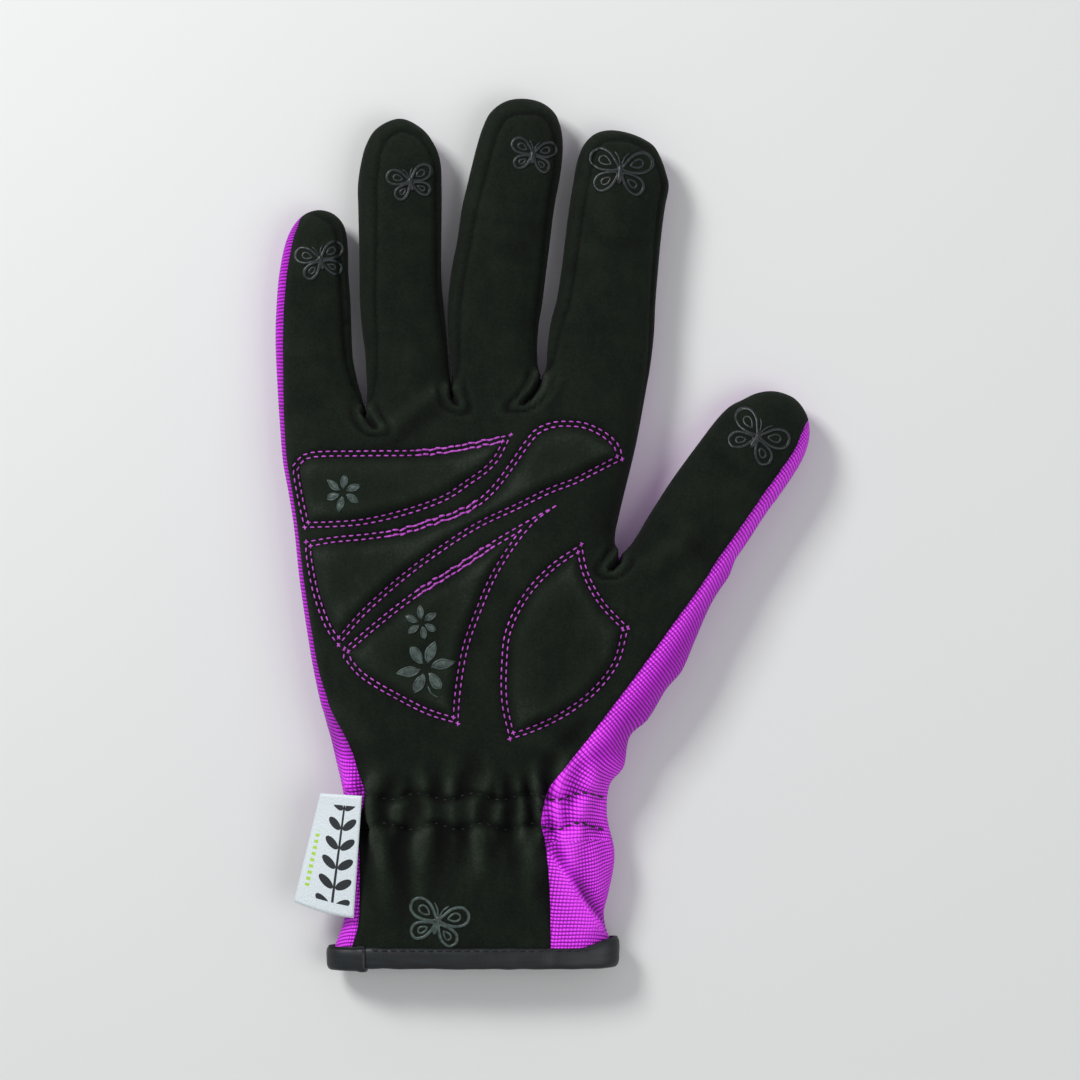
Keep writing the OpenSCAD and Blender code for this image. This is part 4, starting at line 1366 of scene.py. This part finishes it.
def ribbon(line, width, height, closed=False, leaf=False):
    """A low rounded bead of silicone along a line on the palm side; a leaf swells between pointed ends."""
    path = evenly(np.asarray(line, float), 0.55, closed=closed)
    side = normals_of(path, closed=closed)
    t = np.linspace(0, 1, len(path))
    if closed:
        taper = np.ones(len(path))
    elif leaf:
        taper = 0.12 + 0.88 * np.sin(math.pi * t ** 1.25) ** 0.85
    else:
        taper = 0.35 + 0.65 * np.sqrt(np.clip(4 * t * (1 - t) * 1.6, 0, 1))
    section = [(math.cos(a), math.sin(a)) for a in np.linspace(0, math.pi, 6)]
    section += [(-0.6, -0.35), (0.6, -0.35)]  # sunk into the cloth
    rings = []
    for out, rise in section:
        spot = path + side * (out * width / 2 * taper)[:, None]
        heights, normals = on_front(spot)
        rings.append(np.column_stack([spot, heights]) + normals * (rise * height * taper)[:, None])
    return np.stack(rings, axis=1).reshape(-1, 3), tube_faces(len(path), len(section), closed)


def placed(points, centre, size, turn):
    """A small drawing about the origin, sized, turned by degrees and moved to its centre."""
    return turned(np.asarray(points, float) * size, math.radians(turn)) + np.array(centre)


def butterfly(centre, size, turn, width=0.95):
    """Four wings as outlines with an inner vein each, a body and two feelers."""
    parts = []

    def bead(line, wide, high, closed=False):
        parts.append(ribbon(placed(line, centre, size, turn), width * wide, high, closed=closed))

    for flip in (np.array([-1, 1.0]), np.array([1, 1.0])):
        for wing, vein_scale, shift in ((UPPER_WING, 0.42, (0.30, 0.16)), (LOWER_WING, 0.4, (0.26, -0.24))):
            vein = (np.array(wing) * vein_scale + np.array(shift)) * flip
            bead(curve(wing, FINE, closed=True)[:-1] * flip, 1, 0.36, closed=True)
            bead(curve(vein, FINE, closed=True)[:-1], 0.65, 0.16, closed=True)
        bead(curve(np.array(FEELER) * flip, FINE), 0.6, 0.3)
    bead([(0, 0.2), (0, 0.0), (0, -0.25), (0, -0.46)], 1.7, 0.55)
    return combine(parts)


def flower(centre, size, turn, petals=6, width=0.45):
    """Pointed petals round an open middle, each a thin domed leaf between two raised edges."""
    rng = np.random.default_rng(int(size * 10))
    parts = []
    for k in range(petals):
        angle = turn + 360 * k / petals + rng.uniform(-7, 7)
        reach = rng.uniform(0.86, 1.06)
        leaf = [(0.20, 0.0), (0.45, 0.02), (0.72, 0.03), (reach, 0.0)]
        left = [(0.22, 0.04), (0.42, 0.16), (0.66, 0.19), (0.86, 0.10), (reach + 0.03, 0.0)]
        right = [(0.30, -0.04), (0.52, -0.13), (0.76, -0.12), (reach, 0.0)]
        beads = ((leaf, size * 0.30, 0.16), (left, width, 0.34), (right, width * 0.8, 0.26))
        for points, wide, high in beads:
            line = curve(placed(points, centre, size, angle), 0.4)
            parts.append(ribbon(line, wide, high, leaf=points is leaf))
    return combine(parts)


def fingertip_grip(name):
    """The butterfly on a fingertip, put in place of the frame's grip; its transform is baked into its mesh."""
    finger = FINGERS[name]
    grip = new_object(f"{name}_butterfly", *butterfly(*GRIPS[name]), SILICONE)
    declare(grip, [f"{name}_butterfly_grip"])
    blend_at_bend(grip, name, finger.crease, finger.reach)


for finger_name in GRIPS:
    fingertip_grip(finger_name)
# Printed paler than the fingertips' butterflies: a painted highlight for the glints on it.
cuff_butterfly = new_object("cuff_butterfly", *butterfly((-28.8, -106.2), 8.0, -14), PALE_AND_GLINT_SILICONE)
declare(cuff_butterfly, ["cuff_butterfly_grip"], "hand")
palm_flowers = new_object("palm_flowers", *combine([
    flower((-54.4, 11.3), 5.2, 20),
    flower((-32.9, -24.2), 4.8, 34),
    flower((-31.8, -36.6), 7.6, 8, width=0.6),
    ribbon(curve([(-31.2, -41.4), (-30.4, -43.2), (-28.4, -44.6)], 0.3), 0.5, 0.3),
]), PALE_AND_GLINT_SILICONE)
declare(palm_flowers, ["flower_grips"], "hand")

# ---- wrist elastic and its stitches ------------------------------------------------------------


def levelled(heights, reach, rule):
    """A grid of heights, each replaced by a rule over its neighbours up and down, then left and right."""
    for axis in (0, 1):
        padded = np.pad(heights, 4, mode="edge")
        moved = [np.roll(padded, k, axis=axis)[4:-4, 4:-4] for k in range(-reach, reach + 1)]
        heights = rule(moved, axis=0)
    return heights


def elastic_band(thick=1.0):
    """The elastic behind the palm's wrist: it runs level under the folds, held where they are pinched."""
    gx, gy = np.meshgrid(np.arange(-50, 15.1, 1.0), np.arange(ELASTIC_Y[0], ELASTIC_Y[1] + 0.1, 1.0))
    spots = np.column_stack([gx.ravel(), gy.ravel()])
    heights = on_front(spots)[0].reshape(gx.shape)
    heights = levelled(levelled(heights, 3, np.min), 1, np.mean)
    return slab(np.column_stack([spots, heights.ravel() - CLOTH - 0.45]), gx.shape[1], thick)


def elastic_rows():
    """Two wandering rows of stitches, longer and heavier on the thumb's side where the cloth is purple."""
    rows = []
    for y in ELASTIC_ROWS:
        xs = np.arange(-50.5, 16.5, 0.5)
        line = np.column_stack([xs, y - row_wave(xs, y)])
        rows.append(stitch_row(line[xs < 0], 2.5, 1.5, 0.4, lift=-0.22, drop=0.15))
        rows.append(stitch_row(line[xs > 0], 2.3, 1.6, 0.6, drop=0.15))
    return combine(rows)


elastic = new_object("wrist_elastic_band", *elastic_band(), ELASTIC)
declare(elastic, ["wrist_elastic"], "hand")
elastic_stitches = new_object("elastic_stitches", *elastic_rows(), BLACK_THREAD)
declare(elastic_stitches, ["elastic_stitching"], "hand")

# ---- cuff binding ------------------------------------------------------------------------------

CUFF_Y = -116.0  # where the binding takes its shape from the cuff
BINDING_STITCH_Y = -114.0


def cuff_loop():
    """The mouth of the glove as a closed loop in the plane across the cuff, as x and z."""
    left, right = outline[0][0], outline[-1][0]
    xs = np.linspace(left + 1.6, right - 1.6, 40)
    up = Vector((0, 0, 1))
    front = on_front([(x, CUFF_Y) for x in xs])[0] - CLOTH / 2
    back = [back_tree.ray_cast(Vector((x, CUFF_Y, -ABOVE)), up)[0].z + CLOTH / 2 for x in reversed(xs)]
    middle = seam_height(CUFF_Y)
    around = [(left, middle), *zip(xs, front), (right, middle), *zip(reversed(xs), back)]
    path = evenly(np.array(around), 0.8, closed=True)
    for _ in range(3):
        path = 0.25 * np.roll(path, 1, axis=0) + 0.5 * path + 0.25 * np.roll(path, -1, axis=0)
    return path


def sweep(path, profile, size, shift, closed):
    """A profile of (out, along y) swept along a path in the x-z plane, sized and shifted at each point."""
    n = -normals_of(path, closed=closed)
    points = np.stack([
        np.column_stack([
            path[:, 0] + n[:, 0] * out * size, shift + y * size, path[:, 1] + n[:, 1] * out * size
        ]) for out, y in profile
    ], axis=1)
    faces = tube_faces(len(path), len(profile), closed)
    return points.reshape(-1, 3), [(f[0], *f[:0:-1]) for f in faces]


def binding_profile(half_thick, half_wide, slot):
    """A tape folded round the raw edge, as (out, along y): its outer skin, then the slot for the cloth."""
    outer = []
    for t in np.linspace(0, math.pi, 17):
        out = half_thick * math.copysign(abs(math.cos(t)) ** 0.7, math.cos(t))
        outer.append((out, -half_wide * math.sin(t) ** 0.6))
    side = [(half_thick * out, half_wide * y) for out, y in ((1.04, 0.35), (0.98, 0.72), (0.7, 1.0))]
    inner = [(slot * out, half_wide * y) for out, y in ((-1, 0.97), (-1, -0.45), (1, -0.45), (1, 0.97))]
    return side[::-1] + outer + [(-out, y) for out, y in side] + inner


def binding_tape(path):
    """The tape round the whole cuff, fuller on the thumb's side and a little uneven."""
    fuller = smooth((path[:, 0] - 9) / 11)
    uneven = ripples(path * np.array([1.0, 0.4]), 7, 21)
    size = 1 + 0.45 * fuller - 0.12 * smooth((path[:, 0] - 19) / 4) + 0.035 * uneven
    shift = -116.45 + 1.4 * fuller + 0.14 * ripples(path, 18, 22)
    return sweep(path, binding_profile(1.45, 2.95, 0.5), size, shift, True)


def binding_end(path):
    """The tape's end, lapped over its start from underneath to a little way along the front."""
    lap = np.roll(path, -nearest_index(path, (-54, 1.0)), axis=0)
    lap = lap[:next(i for i, (x, z) in enumerate(lap) if x > -47.6 and z > 6)]
    size = 1.12 + 0.10 * bell(np.linspace(0, 1, len(lap)) - 0.93, 0.05) + 0.03 * ripples(lap, 5, 23)
    return sweep(lap, binding_profile(1.75, 3.0, 1.3), size, np.full(len(lap), -116.75), False)


def binding_row():
    """The stitches that hold the binding's front edge."""
    xs = np.arange(-46, 15, 0.5)
    line = np.column_stack([xs, np.full(len(xs), BINDING_STITCH_Y)])
    return stitch_row(line, 2.5, 1.7, 0.4, lift=1.02, drop=0.1)


cuff = cuff_loop()
binding = new_object("cuff_binding_tape", *binding_tape(cuff), BINDING)
declare(binding, ["cuff_binding"], "hand")
declare(new_object("cuff_binding_end", *binding_end(cuff), BINDING), body="hand")
binding_stitches = new_object("binding_stitches", *binding_row(), BLACK_THREAD)
declare(binding_stitches, ["binding_stitching"], "hand")

# ---- side label --------------------------------------------------------------------------------

LABEL_CORNERS = {
    "top_seam": (-49.4, -71.6, 17.0), "low_seam": (-51.8, -105.3, 13.4),
    "top_free": (-60.9, -71.0, 14.9), "low_free": (-68.3, -101.0, 10.4),
}


def label_sheet(columns=19, rows=37, thick=0.4):
    """The folded label, sewn along one long side, its free side curling down; and its coordinates."""
    corner = {key: np.array(value) for key, value in LABEL_CORNERS.items()}
    v, u = (grid.ravel()[:, None] for grid in np.mgrid[0:1:rows * 1j, 0:1:columns * 1j])
    seam = corner["low_seam"] * (1 - v) + corner["top_seam"] * v
    free = corner["low_free"] * (1 - v) + corner["top_free"] * v
    top = free * (1 - u) + seam * u
    bow = 4 * u * (1 - u)
    top[:, 1:2] -= (1 - v) ** 8 * 0.7 * bow
    top[:, 2:] += 0.55 * bow * (0.4 + 0.6 * np.sin(3.4 * v + 0.5)) + 0.5 * (1 - u) ** 2 * np.cos(4 * v)
    points, faces = slab(top, columns, thick)
    return points, faces, np.tile(np.hstack([u, v]), (2, 1))


label_points, label_faces, label_uv = label_sheet()
label = new_object("side_label_sheet", label_points, label_faces, LABEL)
store_uv(label.data, "label", label_uv[loop_points(label.data)])
declare(label, ["side_label"], "label")

# ---- stage, lights and camera ------------------------------------------------------------------

FLOOR_HALF = 3000  # the floor reaches this far each way
FLOOR_Z = -0.3

floor_nodes = Nodes("floor")
floor_nodes.surface(base_color=(0.62, 0.63, 0.62), roughness=0.9)
floor_corners = [(x * FLOOR_HALF, y * FLOOR_HALF, FLOOR_Z) for x, y in ((-1, -1), (1, -1), (1, 1), (-1, 1))]
new_object("floor", floor_corners, [(0, 1, 2, 3)], floor_nodes.material)


def area_light(name, position, size, power):
    """A square lamp that shines at the origin; its position and size in metres."""
    data = bpy.data.lights.new(name, "AREA")
    data.shape = "SQUARE"
    data.size = size
    data.energy = power
    light = linked(name, data)
    light.location = position
    light.rotation_euler = (-Vector(position)).to_track_quat("-Z", "Y").to_euler()


area_light("key", (-0.62, 0.62, 0.72), 0.32, 10.5)
area_light("fill", (0.75, -0.25, 1.1), 0.9, 5.5)
world = bpy.data.worlds.new("studio")
world.use_nodes = True
background = world.node_tree.nodes["Background"]
background.inputs["Color"].default_value = (0.95, 0.97, 1.0, 1.0)
background.inputs["Strength"].default_value = 0.5
bpy.context.scene.world = world
bpy.context.scene.view_settings.view_transform = "Standard"

camera_data = bpy.data.cameras.new("camera")
camera_data.lens = 145.5
camera_data.sensor_width = 36
camera_data.clip_end = 10
camera = linked("camera", camera_data)
camera.location = (-0.0007, -0.00165, 1.21)
bpy.context.scene.camera = camera
